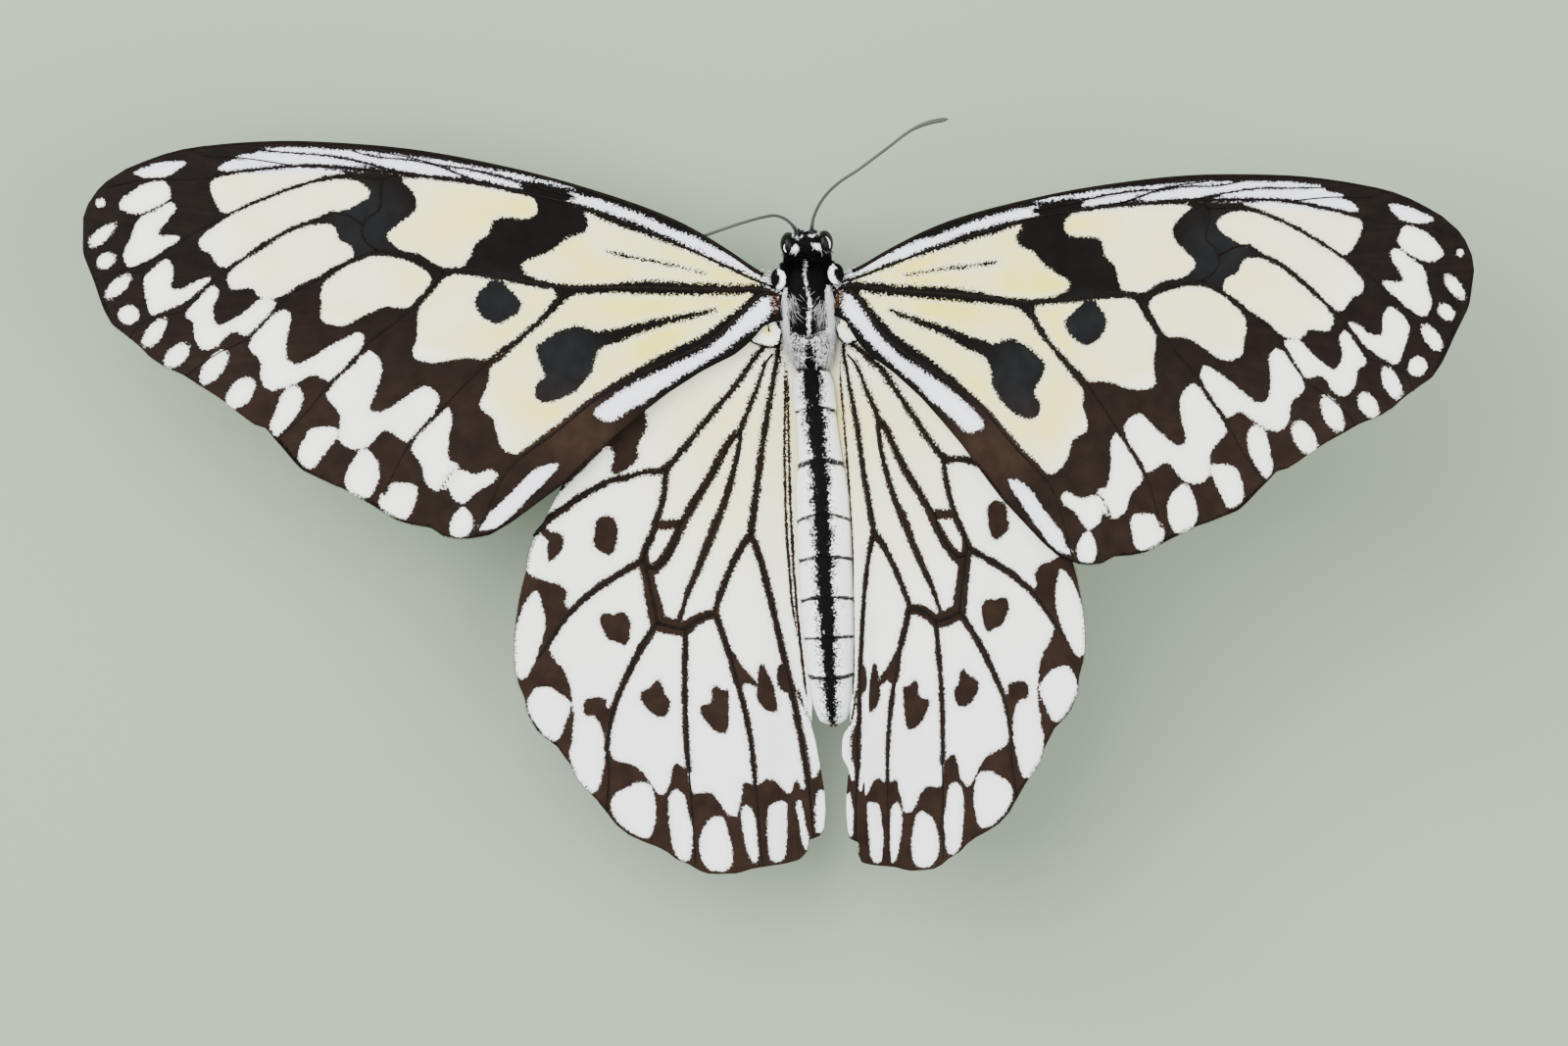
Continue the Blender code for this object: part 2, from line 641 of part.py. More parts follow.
def make_mouthparts():
    """Palps in front of the face and the coiled tongue under the head."""
    for side, tag in ((-1, "l"), (1, "r")):
        path = [(side * x, y, z) for x, y, z, _ in PALP]
        tube("palp_" + tag, path, [r for *_, r in PALP], 8, BLACK_SCALES)
    steps = 22
    path = []
    for i in range(steps + 1):
        turn = COIL_TURNS * i / steps
        radius = COIL_INNER + COIL_PITCH * (COIL_TURNS - turn)
        angle = math.radians(COIL_START) - math.tau * turn
        path.append((COIL_CENTRE[0], COIL_CENTRE[1] + radius * math.cos(angle),
                     COIL_CENTRE[2] + radius * math.sin(angle)))
    radii = [COIL_RADIUS] * steps + [COIL_RADIUS * 0.6]
    tube("proboscis", path, radii, 6, LEG_CUTICLE)


def make_legs():
    """Four walking legs with their feet flat on the floor and the two short forelegs."""
    for kind, rows in (("mid", LEG_MID), ("hind", LEG_HIND), ("fore", LEG_FORE)):
        for side, tag in ((-1, "l"), (1, "r")):
            path = [(side * x, y, z) for x, y, z, _ in rows]
            radii = [r for *_, r in rows]
            tube("leg_" + kind + "_" + tag, path, radii, LEG_SIDES, LEG_CUTICLE, kind != "fore")


def make_wings():
    """Forewings and hindwings, each in its own place."""
    for name, (place, kind) in WINGS.items():
        if kind == "fore":
            make_wing(name, place, forewing_outline(place), FOREWING_VEINS)
        else:
            make_wing(name, place, hindwing_outline(place), HINDWING_VEINS)


def centre_on_origin():
    """Parents every part to one empty that puts the middle of the model over the origin."""
    bpy.context.view_layer.update()
    parts = [o for o in bpy.context.scene.objects if o.type == "MESH"]
    corners = np.array([o.matrix_world @ v.co for o in parts for v in o.data.vertices])
    middle = (corners.min(0) + corners.max(0)) / 2
    carrier = bpy.data.objects.new("paper_kite", None)
    bpy.context.scene.collection.objects.link(carrier)
    for part in parts:
        part.parent = carrier
    carrier.location = (-middle[0], -middle[1], -corners.min(0)[2])


def main():
    """Builds every part in place and centres the model."""
    for old in list(bpy.data.objects):
        bpy.data.objects.remove(old)
    make_thorax()
    make_head()
    make_eyes()
    make_antennae()
    make_mouthparts()
    make_abdomen()
    make_legs()
    make_wings()
    centre_on_origin()


main()
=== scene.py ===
"""Looks of a life-size paper kite butterfly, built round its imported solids.

The body lies along +Y with the head in front, the wings reach out along X and the feet stand at z = 0.
Sizes are millimetres in the insect's own frame, whose middle is the thorax, and become metres in the frame
of the solids in one place, Workbench.metres. A wing is drawn flat first: u runs outward from its root and
v towards the head; WingPose then turns, bends and sets it beside the thorax.
"""

import logging
import math
from dataclasses import dataclass, field
from enum import Enum

import bpy
import numpy as np
from mathutils import Matrix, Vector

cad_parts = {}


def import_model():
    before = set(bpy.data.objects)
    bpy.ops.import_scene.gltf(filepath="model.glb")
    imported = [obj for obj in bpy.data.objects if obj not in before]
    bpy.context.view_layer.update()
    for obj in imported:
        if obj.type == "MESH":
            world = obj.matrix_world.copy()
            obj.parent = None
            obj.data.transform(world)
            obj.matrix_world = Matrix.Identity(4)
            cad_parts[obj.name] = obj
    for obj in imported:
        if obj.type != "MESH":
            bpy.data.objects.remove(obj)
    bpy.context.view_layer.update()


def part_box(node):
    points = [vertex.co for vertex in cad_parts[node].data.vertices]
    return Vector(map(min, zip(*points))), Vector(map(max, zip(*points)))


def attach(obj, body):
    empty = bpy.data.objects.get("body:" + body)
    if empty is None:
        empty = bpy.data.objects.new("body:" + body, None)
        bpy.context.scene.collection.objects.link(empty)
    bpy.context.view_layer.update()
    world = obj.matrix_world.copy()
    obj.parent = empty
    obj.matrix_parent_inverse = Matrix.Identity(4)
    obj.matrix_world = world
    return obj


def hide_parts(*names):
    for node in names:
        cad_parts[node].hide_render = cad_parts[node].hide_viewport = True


LOG = logging.getLogger("paper_kite")
Array = np.ndarray
Point = tuple[float, ...]
Material = bpy.types.Material
SEED = 20

# The picture: its size, how much one of its pixels covers at the thorax, and where the thorax lies in it
PICTURE_WIDTH_PX = 1600
PICTURE_HEIGHT_PX = 1067
MM_PER_PX = 0.0845
THORAX_PX = (824.0, 290.0)
CAMERA_DISTANCE = 700.0
CAMERA_LEAN = math.radians(4.0)        # towards the right wings
CAMERA_TURN = math.radians(2.7)        # the head points this far left of the picture's top
THORAX_LEVEL = 9.1                     # height that the pixel size holds for
SENSOR_MM = 36.0

SIDES = (("l", -1), ("r", 1))          # the names of left and right, and their signs along x
UPWARD = (0.0, 0.0, 1.0)
RIGHTWARD = (1.0, 0.0, 0.0)
LEG_UP = (0.31, 0.12, 1.0)             # a direction that no stretch of a leg follows
FAR_OFF = 9.0                          # stands for the distance of whatever isn't near, in millimetres

# Settings of nodes that mix two colours, dim a colour by a brightness, and soften both ends of a range
BLEND = {"data_type": "RGBA"}
DIM = {"data_type": "RGBA", "blend_type": "MULTIPLY"}
SOFT_EDGE = {"interpolation_type": "SMOOTHSTEP"}


def linear(code: str) -> tuple[float, float, float, float]:
    """Turns an sRGB hex colour into linear red, green, blue and a full alpha.

    Args:
        code: six hex digits after a hash.

    Returns:
        Four floats for a colour socket.
    """
    parts = [int(code[i:i + 2], 16) / 255 for i in (1, 3, 5)]
    red, green, blue = [p / 12.92 if p <= 0.04045 else ((p + 0.055) / 1.055) ** 2.4 for p in parts]
    return red, green, blue, 1.0


def fill(tree: bpy.types.NodeTree, node: bpy.types.Node, feeds: tuple | dict) -> None:
    """Fills or links a node's sockets.

    Args:
        tree: the node's tree.
        node: the node.
        feeds: a value or the output that feeds it for each socket, in the sockets' order or by socket.
    """
    for key, value in feeds.items() if isinstance(feeds, dict) else enumerate(feeds):
        if isinstance(value, bpy.types.NodeSocket):
            tree.links.new(value, node.inputs[key])
        else:
            node.inputs[key].default_value = value


def add(tree: bpy.types.NodeTree, kind: str, feeds: tuple | dict = (), out: int | str = 0,
        **settings: object) -> bpy.types.NodeSocket:
    """Adds one node with its settings and links.

    Args:
        tree: the material's node tree.
        kind: the node's class name without "ShaderNode".
        feeds: what its sockets get, as fill takes it.
        out: which of its outputs is wanted.
        settings: property names and values.

    Returns:
        That output.
    """
    made = tree.nodes.new("ShaderNode" + kind)
    for key, value in settings.items():
        setattr(made, key, value)
    fill(tree, made, feeds)
    return made.outputs[out]


def blank(name: str) -> tuple[Material, bpy.types.NodeTree]:
    """A new material and its node tree, which holds one shader.

    Args:
        name: the material's name.

    Returns:
        Both.
    """
    made = bpy.data.materials.new(name)
    made.use_nodes = True
    return made, made.node_tree


def dress(made: Material, feeds: dict) -> Material:
    """Fills or links the shader's own sockets, and gives the material back."""
    fill(made.node_tree, made.node_tree.nodes["Principled BSDF"], feeds)
    return made


def shown(name: str, data: bpy.types.ID) -> bpy.types.Object:
    """A new object of the scene.

    Args:
        name: its name.
        data: the mesh, lamp or camera that it shows.

    Returns:
        The object.
    """
    made = bpy.data.objects.new(name, data)
    bpy.context.scene.collection.objects.link(made)
    return made


def smooth_path(points: tuple[Point, ...] | list, per: int, closed: bool = False) -> Array:
    """Curve through points: a centripetal Catmull-Rom spline, whose knots are spaced by the root of the gaps.

    Args:
        points: the points, of any dimension.
        per: samples between each two points.
        closed: whether the last point joins the first.

    Returns:
        Samples as rows.
    """
    p = np.asarray(points, float)
    if closed:
        p = np.vstack([p[-1:], p, p[:2]])
    else:
        p = np.vstack([2 * p[0] - p[1], p, 2 * p[-1] - p[-2]])
    a, b, c, d = (p[i:len(p) - 3 + i][:, None, :] for i in range(4))
    gap = [np.sqrt(np.maximum(np.linalg.norm(y - x, axis=2, keepdims=True), 1e-9))
           for x, y in ((a, b), (b, c), (c, d))]
    tb, tc = gap[0], gap[0] + gap[1]
    td = tc + gap[2]
    t = tb + gap[1] * (np.arange(per) / per)[None, :, None]
    ab = a + (b - a) * t / tb
    bc = b + (c - b) * (t - tb) / gap[1]
    cd = c + (d - c) * (t - tc) / gap[2]
    abc = ab + (bc - ab) * t / tc
    bcd = bc + (cd - bc) * (t - tb) / (td - tb)
    curve = (abc + (bcd - abc) * (t - tb) / gap[1]).reshape(-1, p.shape[1])
    return curve if closed else np.vstack([curve, p[-2:-1]])


def smoothstep(low: float, high: float, x: Array) -> Array:
    """Rises from 0 at low to 1 at high along 3t² - 2t³."""
    t = np.clip((x - low) / (high - low), 0, 1)
    return t * t * (3 - 2 * t)


def bell(x: Array, middle: float, reach: float, power: int = 2) -> Array:
    """Falls from 1 at the middle along e^(-((x - middle) / reach)^power)."""
    return np.exp(-((x - middle) / reach) ** power)


def unit(arrows: Array) -> Array:
    """Arrows brought to length 1."""
    return arrows / np.maximum(np.linalg.norm(arrows, axis=-1, keepdims=True), 1e-12)


def run_of(line: Array) -> Array:
    """How far each row of a line lies along it."""
    return np.concatenate([[0], np.cumsum(np.linalg.norm(np.diff(line, axis=0), axis=1))])


def points_at(at: Array, run: Array, line: Array) -> Array:
    """Points of a line at given distances along it, between its rows."""
    return np.stack([np.interp(at, run, column) for column in line.T], 1)


def segment_distance(points: Array, line: Array, widths: Array | None = None) -> Array:
    """Distance from points to an open line, less the line's half width where it is nearest.

    Each point is dropped on every straight piece of the line and the least distance is kept.

    Args:
        points: rows of two coordinates.
        line: rows of two coordinates.
        widths: half width at each row of the line, or None for a thin line.

    Returns:
        One distance for each point.
    """
    best = np.full(len(points), 1e9)
    for k in range(len(line) - 1):
        a, d = line[k], line[k + 1] - line[k]
        t = np.clip(((points - a) @ d) / max(float(d @ d), 1e-12), 0, 1)
        gap = np.hypot(*(points - a - t[:, None] * d).T)
        if widths is not None:
            gap = gap - (widths[k] + (widths[k + 1] - widths[k]) * t)
        best = np.minimum(best, gap)
    return best


def patch_distance(points: Array, outline: Array) -> Array:
    """Signed distance to a closed outline, positive inside: nearest edge, signed by counted crossings.

    Args:
        points: rows of two coordinates.
        outline: the closed outline's rows.

    Returns:
        One signed distance for each point.
    """
    ring = np.vstack([outline, outline[:1]])
    inside = np.zeros(len(points), bool)
    for a, b in zip(ring[:-1], ring[1:]):
        crosses = (a[1] > points[:, 1]) != (b[1] > points[:, 1])
        rise = b[1] - a[1] if b[1] != a[1] else 1e-12
        inside ^= crosses & (a[0] + (points[:, 1] - a[1]) * (b[0] - a[0]) / rise > points[:, 0])
    gap = segment_distance(points, ring)
    return np.where(inside, gap, -gap)


def tiles(rows: int, columns: int, wrap: bool = True) -> Array:
    """Quads of a grid of points.

    Args:
        rows: its rows.
        columns: points of each row.
        wrap: whether each row is joined round into a ring.

    Returns:
        Corner numbers, four for each quad.
    """
    i, j = np.meshgrid(np.arange(rows - 1), np.arange(columns if wrap else columns - 1), indexing="ij")
    k = (j + 1) % columns
    corners = [i * columns + j, i * columns + k, (i + 1) * columns + k, (i + 1) * columns + j]
    return np.stack(corners, -1).reshape(-1, 4)


def capped(rings: int, sides: int) -> list[Array]:
    """Faces of rings joined one to the next, and of fans to two end points that are numbered after them.

    Args:
        rings: how many rings.
        sides: points of each ring.

    Returns:
        Quads, the first ring's fan and the last ring's fan.
    """
    turn = np.arange(sides)
    after = (turn + 1) % sides
    base, end = (rings - 1) * sides, np.full(sides, rings * sides)
    fans = [np.stack([end, after, turn], -1), np.stack([end + 1, base + turn, base + after], -1)]
    return [tiles(rings, sides), *fans]


@dataclass
class Shape:
    """A mesh being made: points in millimetres, faces of three or four corners, and values for each point."""

    points: Array
    faces: list[Array]
    values: dict[str, Array] = field(default_factory=dict)

    @staticmethod
    def joined(shapes: list["Shape"]) -> "Shape":
        """Joins shapes that carry the same values into one.

        Args:
            shapes: the shapes.

        Returns:
            Them all as one.
        """
        start = np.cumsum([0] + [len(s.points) for s in shapes])
        faces = [f + start[k] for k, s in enumerate(shapes) for f in s.faces]
        values = {n: np.concatenate([s.values[n] for s in shapes]) for n in shapes[0].values}
        return Shape(np.vstack([s.points for s in shapes]), faces, values)

    def outward(self) -> "Shape":
        """The shape with its faces turned round where its volume, the sum of a . (b x c) / 6, is negative."""
        p = self.points
        volume = 0.0
        for f in self.faces:
            for k in range(1, f.shape[1] - 1):
                volume += float(np.einsum("ij,ij->i", p[f[:, 0]], np.cross(p[f[:, k]], p[f[:, k + 1]])).sum())
        return self if volume >= 0 else Shape(p, [f[:, ::-1] for f in self.faces], self.values)

    def mirrored(self, side: int, middle: float = 0.0) -> "Shape":
        """The shape itself for side 1, or its mirror image for side -1, set beside the x of the middle."""
        faces = self.faces if side > 0 else [f[:, ::-1] for f in self.faces]
        return Shape(self.points * np.array([side, 1, 1]) + np.array([middle, 0, 0]), faces, self.values)

    def inked(self, ink: Array | float) -> "Shape":
        """The shape with the skin's point values: its ink, no grey, and no ring of the abdomen near it."""
        none = np.zeros(len(self.points))
        return Shape(self.points, self.faces, {"ink": none + ink, "grey": none, "seam": none + FAR_OFF})


@dataclass(frozen=True)
class Workbench:
    """Puts finished shapes into the scene, in the frame of the solids."""

    shift: tuple[float, float]
    finishes: dict[str, Material]

    @staticmethod
    def from_frame(finishes: dict[str, Material]) -> "Workbench":
        """Finds the two frames' offset from the eyes, which stand either side of the head's middle.

        Args:
            finishes: the materials by a short name.

        Returns:
            The workbench.
        """
        boxes = [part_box("eye_l"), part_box("eye_r")]
        x, y = (sum(low[k] + high[k] for low, high in boxes) / 4 * 1000 for k in (0, 1))
        return Workbench((x - HEAD_CENTRE[0], y - EYE_CENTRE[1]), finishes)

    def metres(self, points: Array) -> Array:
        """Points of the insect's frame, in the frame of the solids."""
        return (points + np.array([*self.shift, 0.0])) / 1000

    def place(self, name: str, shape: Shape, finish: str, slot: str, replaces: tuple[str, ...] = ()) -> None:
        """Makes a shape an object that rides on the model.

        Args:
            name: the piece's name.
            shape: its mesh.
            finish: its material's short name.
            slot: the record's material slot; not used.
            replaces: nodes of the solids that it stands for.
        """
        sizes = np.concatenate([np.full(len(f), f.shape[1]) for f in shape.faces])
        corners = np.concatenate([f.ravel() for f in shape.faces])
        mesh = bpy.data.meshes.new(name)
        mesh.vertices.add(len(shape.points))
        mesh.vertices.foreach_set("co", self.metres(shape.points).ravel())
        mesh.loops.add(len(corners))
        mesh.loops.foreach_set("vertex_index", corners.astype(np.int32))
        mesh.polygons.add(len(sizes))
        mesh.polygons.foreach_set("loop_start", (np.cumsum(sizes) - sizes).astype(np.int32))
        mesh.update(calc_edges=True)
        mesh.validate()
        for key, value in shape.values.items():
            if key == "bake":
                layer = mesh.uv_layers.new(name="OFBake")
                layer.data.foreach_set("uv", value[corners].astype(np.float32).ravel())
            else:
                layer = mesh.attributes.new(key, "FLOAT", "POINT")
                layer.data.foreach_set("value", value.astype(np.float32))
        mesh.shade_smooth()
        mesh.materials.append(self.finishes[finish])
        made = shown(name, mesh)
        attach(made, "root")
        if replaces:
            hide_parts(*replaces)
        LOG.info("%s: %d points, %d faces", name, len(shape.points), len(sizes))


def frames_along(path: Array, up: Point | Array) -> tuple[Array, Array, Array]:
    """Directions along a path: ahead from its neighbours, across level with a given up, and above both.

    Args:
        path: rows of three coordinates.
        up: one direction that the path never follows.

    Returns:
        Ahead, across and above, as rows.
    """
    ahead = unit(np.gradient(path, axis=0))
    across = unit(np.cross(ahead, up))
    return ahead, across, np.cross(across, ahead)


def tube(path: Array, radii: Array, sides: int, up: Point | Array = UPWARD, squash: float = 1.0) -> Shape:
    """Tube with round ends: at each row of the path a ring p + r(cos a across + squash sin a above).

    Args:
        path: rows of three coordinates.
        radii: radius at each row.
        sides: points round the tube.
        up: direction that the path never follows.
        squash: height of the section over its width.

    Returns:
        The closed tube, with the value "along" from 0 to 1.
    """
    _, across, above = frames_along(path, up)
    angle = (np.arange(sides) * math.tau / sides)[None, :, None]
    ring = np.cos(angle) * across[:, None] + squash * np.sin(angle) * above[:, None]
    points = (path[:, None] + radii[:, None, None] * ring).reshape(-1, 3)
    along = np.concatenate([np.repeat(np.linspace(0, 1, len(path)), sides), [0.0, 1.0]])
    return Shape(np.vstack([points, path[0], path[-1]]), capped(len(path), sides), {"along": along}).outward()


# Finishes

@dataclass(frozen=True)
class WingScales:
    """Overlapping dry scales on a wing: cream to cool white, and brown-black where the markings lie, with a
    bluish reflection painted over parts of the black.

    The scales are powdery, so the surface is nearly matt. The edge of a marking is ragged by
    the width of a scale or two, and more so near the root, where black scales are dusted over the white.
    """

    cream: str = "#EFE06C"
    pale: str = "#FBFAEF"
    lilac: str = "#EFEEF7"
    black: str = "#060403"
    brown: str = "#221712"
    # painted reflection: the bluish tone painted on the black scales where the point value blue is high
    blue: str = "#141719"
    rust: str = "#3C2A1E"
    scale_mm: float = 0.18             # real scales are about 0.1 mm; drawn coarser so that they show
    drift_mm: float = 1.6
    shade_mm: float = 7.0
    streak_rays: float = 210.0         # dark streaks for each radian: 0.25 mm apart at the edge

    def build(self) -> Material:
        """Makes the material. It reads the point values ink, cream, lilac, rust, blue, ray and reach; blue is
        where a bluish reflection is painted on the black.
        """
        made, tree = blank("wing_scales_cream_and_black")
        place = add(tree, "TexCoord", out="Object")
        ink, cream, lilac, rust, blue, ray, reach = (
            add(tree, "Attribute", out="Fac", attribute_name=n)
            for n in ("ink", "cream", "lilac", "rust", "blue", "ray", "reach"))
        grain = add(tree, "TexNoise", {"Vector": place, "Scale": 1000 / self.scale_mm, "Detail": 3.0,
                                       "Roughness": 0.65})
        drift = add(tree, "TexNoise", {"Vector": place, "Scale": 1000 / self.drift_mm, "Detail": 2.0})
        shade = add(tree, "TexNoise", {"Vector": place, "Scale": 1000 / self.shade_mm, "Detail": 3.0})
        ragged = add(tree, "MapRange", (reach, 4.0, 30.0, 1.60, 0.68))
        wobble = add(tree, "Math", (grain, 0.5), operation="SUBTRACT")
        edge = add(tree, "Math", (wobble, ragged, ink), operation="MULTIPLY_ADD")
        sway = add(tree, "MapRange", (drift, 0.3, 0.7, -0.05, 0.05))
        edge = add(tree, "Math", (edge, sway), operation="ADD")
        white = add(tree, "MapRange", (edge, -0.05, 0.09), **SOFT_EDGE)
        dust = add(tree, "MapRange", (edge, 0.0, 0.6, 0.82, 1.0))
        near = add(tree, "MapRange", (ink, 0.05, 0.60, 0.55, 1.0))
        warm = add(tree, "MapRange", (shade, 0.35, 0.65, 0.70, 1.25))
        warm = add(tree, "Math", (near, warm), operation="MULTIPLY")
        warm = add(tree, "Math", (warm, cream), operation="MULTIPLY", use_clamp=True)
        tint = add(tree, "Mix", {0: warm, 6: linear(self.pale), 7: linear(self.cream)}, 2, **BLEND)
        tint = add(tree, "Mix", {0: lilac, 6: tint, 7: linear(self.lilac)}, 2, **BLEND)
        mottle = add(tree, "MapRange", (shade, 0.3, 0.7, 0.93, 1.01))
        light = add(tree, "Math", (mottle, dust), operation="MULTIPLY")
        tint = add(tree, "Mix", {0: 1.0, 6: tint, 7: light}, 2, **DIM)
        ray = add(tree, "Math", (ray, self.streak_rays), operation="MULTIPLY")
        run = add(tree, "Math", (reach, 0.3), operation="MULTIPLY")
        line = add(tree, "CombineXYZ", (ray, run))
        streak = add(tree, "TexNoise", {"Vector": line, "Scale": 0.6, "Detail": 2.0})
        far = add(tree, "MapRange", (reach, 20.0, 42.0, 0.05, 0.45))
        deep = add(tree, "MapRange", (streak, 0.36, 0.66, 0.45, 0.85))
        deep = add(tree, "Math", (deep, far), operation="MULTIPLY")
        dark = add(tree, "Mix", {0: deep, 6: linear(self.black), 7: linear(self.brown)}, 2, **BLEND)
        dark = add(tree, "Mix", {0: rust, 6: dark, 7: linear(self.rust)}, 2, **BLEND)
        # painted reflection: the black turns bluish where the point value blue is high
        dark = add(tree, "Mix", {0: blue, 6: dark, 7: linear(self.blue)}, 2, **BLEND)
        cloud = add(tree, "MapRange", (drift, 0.3, 0.7, 0.75, 1.25))
        dark = add(tree, "Mix", {0: 1.0, 6: dark, 7: cloud}, 2, **DIM)
        return dress(made, {
            "Base Color": add(tree, "Mix", {0: white, 6: dark, 7: tint}, 2, **BLEND),
            "Roughness": add(tree, "MapRange", (white, 0.0, 1.0, 0.55, 0.72)),
            "Normal": add(tree, "Bump", {"Height": grain, "Strength": 0.25, "Distance": 0.00006}),
            "Specular IOR Level": 0.05})


@dataclass(frozen=True)
class DarkScales:
    """Chitin under close black-brown scales, as on veins and legs: satin, a little brown where worn."""

    name: str = "vein_black_scales"
    dark: str = "#0A0705"
    worn: str = "#1A110C"
    grain_mm: float = 0.5
    roughness: float = 0.55

    def build(self) -> Material:
        """Makes the material."""
        made, tree = blank(self.name)
        place = add(tree, "TexCoord", out="Object")
        grain = add(tree, "TexNoise", {"Vector": place, "Scale": 1000 / self.grain_mm, "Detail": 4.0})
        mask = add(tree, "MapRange", (grain, 0.4, 0.7))
        return dress(made, {
            "Base Color": add(tree, "Mix", {0: mask, 6: linear(self.dark), 7: linear(self.worn)}, 2, **BLEND),
            "Normal": add(tree, "Bump", {"Height": grain, "Strength": 0.4, "Distance": 0.00005}),
            "Roughness": self.roughness, "Specular IOR Level": 0.07})


@dataclass(frozen=True)
class BodyScales:
    """Skin of the body under flat scales: soft black with chalk-white marks whose edges are ragged."""

    black: str = "#040303"
    white: str = "#F6F5F7"
    grey: str = "#6E6866"
    scale_mm: float = 0.22             # drawn twice as coarse as the real scales so that they show
    sway_mm: float = 0.9

    def build(self) -> Material:
        """Makes the material. It reads the point values ink, grey and seam."""
        made, tree = blank("body_scales_black_and_white")
        place = add(tree, "TexCoord", out="Object")
        ink, dull, seam = (add(tree, "Attribute", out="Fac", attribute_name=n)
                           for n in ("ink", "grey", "seam"))
        fine = add(tree, "TexNoise", {"Vector": place, "Scale": 1000 / self.scale_mm, "Detail": 3.0,
                                      "Roughness": 0.7})
        soft = add(tree, "TexNoise", {"Vector": place, "Scale": 1000 / self.sway_mm, "Detail": 2.0})
        wobble = add(tree, "MapRange", (fine, 0.25, 0.75, -0.22, 0.22))
        sway = add(tree, "MapRange", (soft, 0.3, 0.7, -0.06, 0.06))
        edge = add(tree, "Math", (ink, wobble), operation="ADD")
        edge = add(tree, "Math", (edge, sway), operation="ADD")
        mask = add(tree, "MapRange", (edge, -0.06, 0.1), **SOFT_EDGE)
        pale = add(tree, "Mix", {0: dull, 6: linear(self.white), 7: linear(self.grey)}, 2, **BLEND)
        seam = add(tree, "Math", (seam, sway), operation="ADD")
        join = add(tree, "MapRange", (seam, 0.09, 0.25, 0.03, 1.0), **SOFT_EDGE)
        pale = add(tree, "Mix", {0: 1.0, 6: pale, 7: join}, 2, **DIM)
        return dress(made, {
            "Base Color": add(tree, "Mix", {0: mask, 6: linear(self.black), 7: pale}, 2, **BLEND),
            "Normal": add(tree, "Bump", {"Height": fine, "Strength": 0.5, "Distance": 0.00006}),
            "Roughness": 0.62, "Specular IOR Level": 0.05})


@dataclass(frozen=True)
class Hair:
    """Fine hair-like scales: black, chalk white or rusty, with a silky edge light."""

    black: str = "#040303"
    white: str = "#F4F2F4"
    rust: str = "#85563C"

    def build(self) -> Material:
        """Makes the material. It reads the point values pale and rust."""
        made, tree = blank("hair_black_and_white")
        pale, rust = (add(tree, "Attribute", out="Fac", attribute_name=n) for n in ("pale", "rust"))
        colour = add(tree, "Mix", {0: pale, 6: linear(self.black), 7: linear(self.white)}, 2, **BLEND)
        return dress(made, {
            "Base Color": add(tree, "Mix", {0: rust, 6: colour, 7: linear(self.rust)}, 2, **BLEND),
            "Roughness": 0.5, "Specular IOR Level": 0.07})


@dataclass(frozen=True)
class EyeLens:
    """Clear cuticle of a compound eye over dark pigment: glossy, with a fine honeycomb of facets."""

    dark: str = "#050404"
    brown: str = "#0C0807"
    facet_mm: float = 0.07             # real facets are about 0.03 mm; drawn coarser so that they show
    spot_mm: float = 0.6

    def build(self) -> Material:
        """Makes the material."""
        made, tree = blank("compound_eye_dark_gloss")
        place = add(tree, "TexCoord", out="Object")
        facet = add(tree, "TexVoronoi", {"Vector": place, "Scale": 1000 / self.facet_mm, "Randomness": 0.35},
                    feature="F1")
        spot = add(tree, "TexNoise", {"Vector": place, "Scale": 1000 / self.spot_mm, "Detail": 2.0})
        colour = add(tree, "Mix", {0: spot, 6: linear(self.dark), 7: linear(self.brown)}, 2, **BLEND)
        bump = add(tree, "Bump", {"Height": facet, "Strength": 0.35, "Distance": 0.00002}, invert=True)
        return dress(made, {"Base Color": colour, "Normal": bump, "Roughness": 0.16, "IOR": 1.5,
                            "Specular IOR Level": 0.14})


@dataclass(frozen=True)
class FeelerScales:
    """Grey-green scaled cuticle of a feeler, black near the head, ringed by its joints."""

    base: str = "#0A0A09"
    far: str = "#31372F"

    def build(self) -> Material:
        """Makes the material. It reads the point value along."""
        made, tree = blank("feeler_grey_scales")
        mask = add(tree, "MapRange", (add(tree, "Attribute", out="Fac", attribute_name="along"), 0.08, 0.45))
        return dress(made, {
            "Base Color": add(tree, "Mix", {0: mask, 6: linear(self.base), 7: linear(self.far)}, 2, **BLEND),
            "Roughness": 0.55})


@dataclass(frozen=True)
class StudioFloor:
    """Seamless paper of a photo studio: matt, pale and even."""

    colour: str = "#8D9886"

    def build(self) -> Material:
        """Makes the material."""
        return dress(blank("studio_paper")[0], {"Base Color": linear(self.colour), "Roughness": 0.9})


# Wing shapes and markings, in flat millimetres: u outward, v towards the head, as runs of u, v

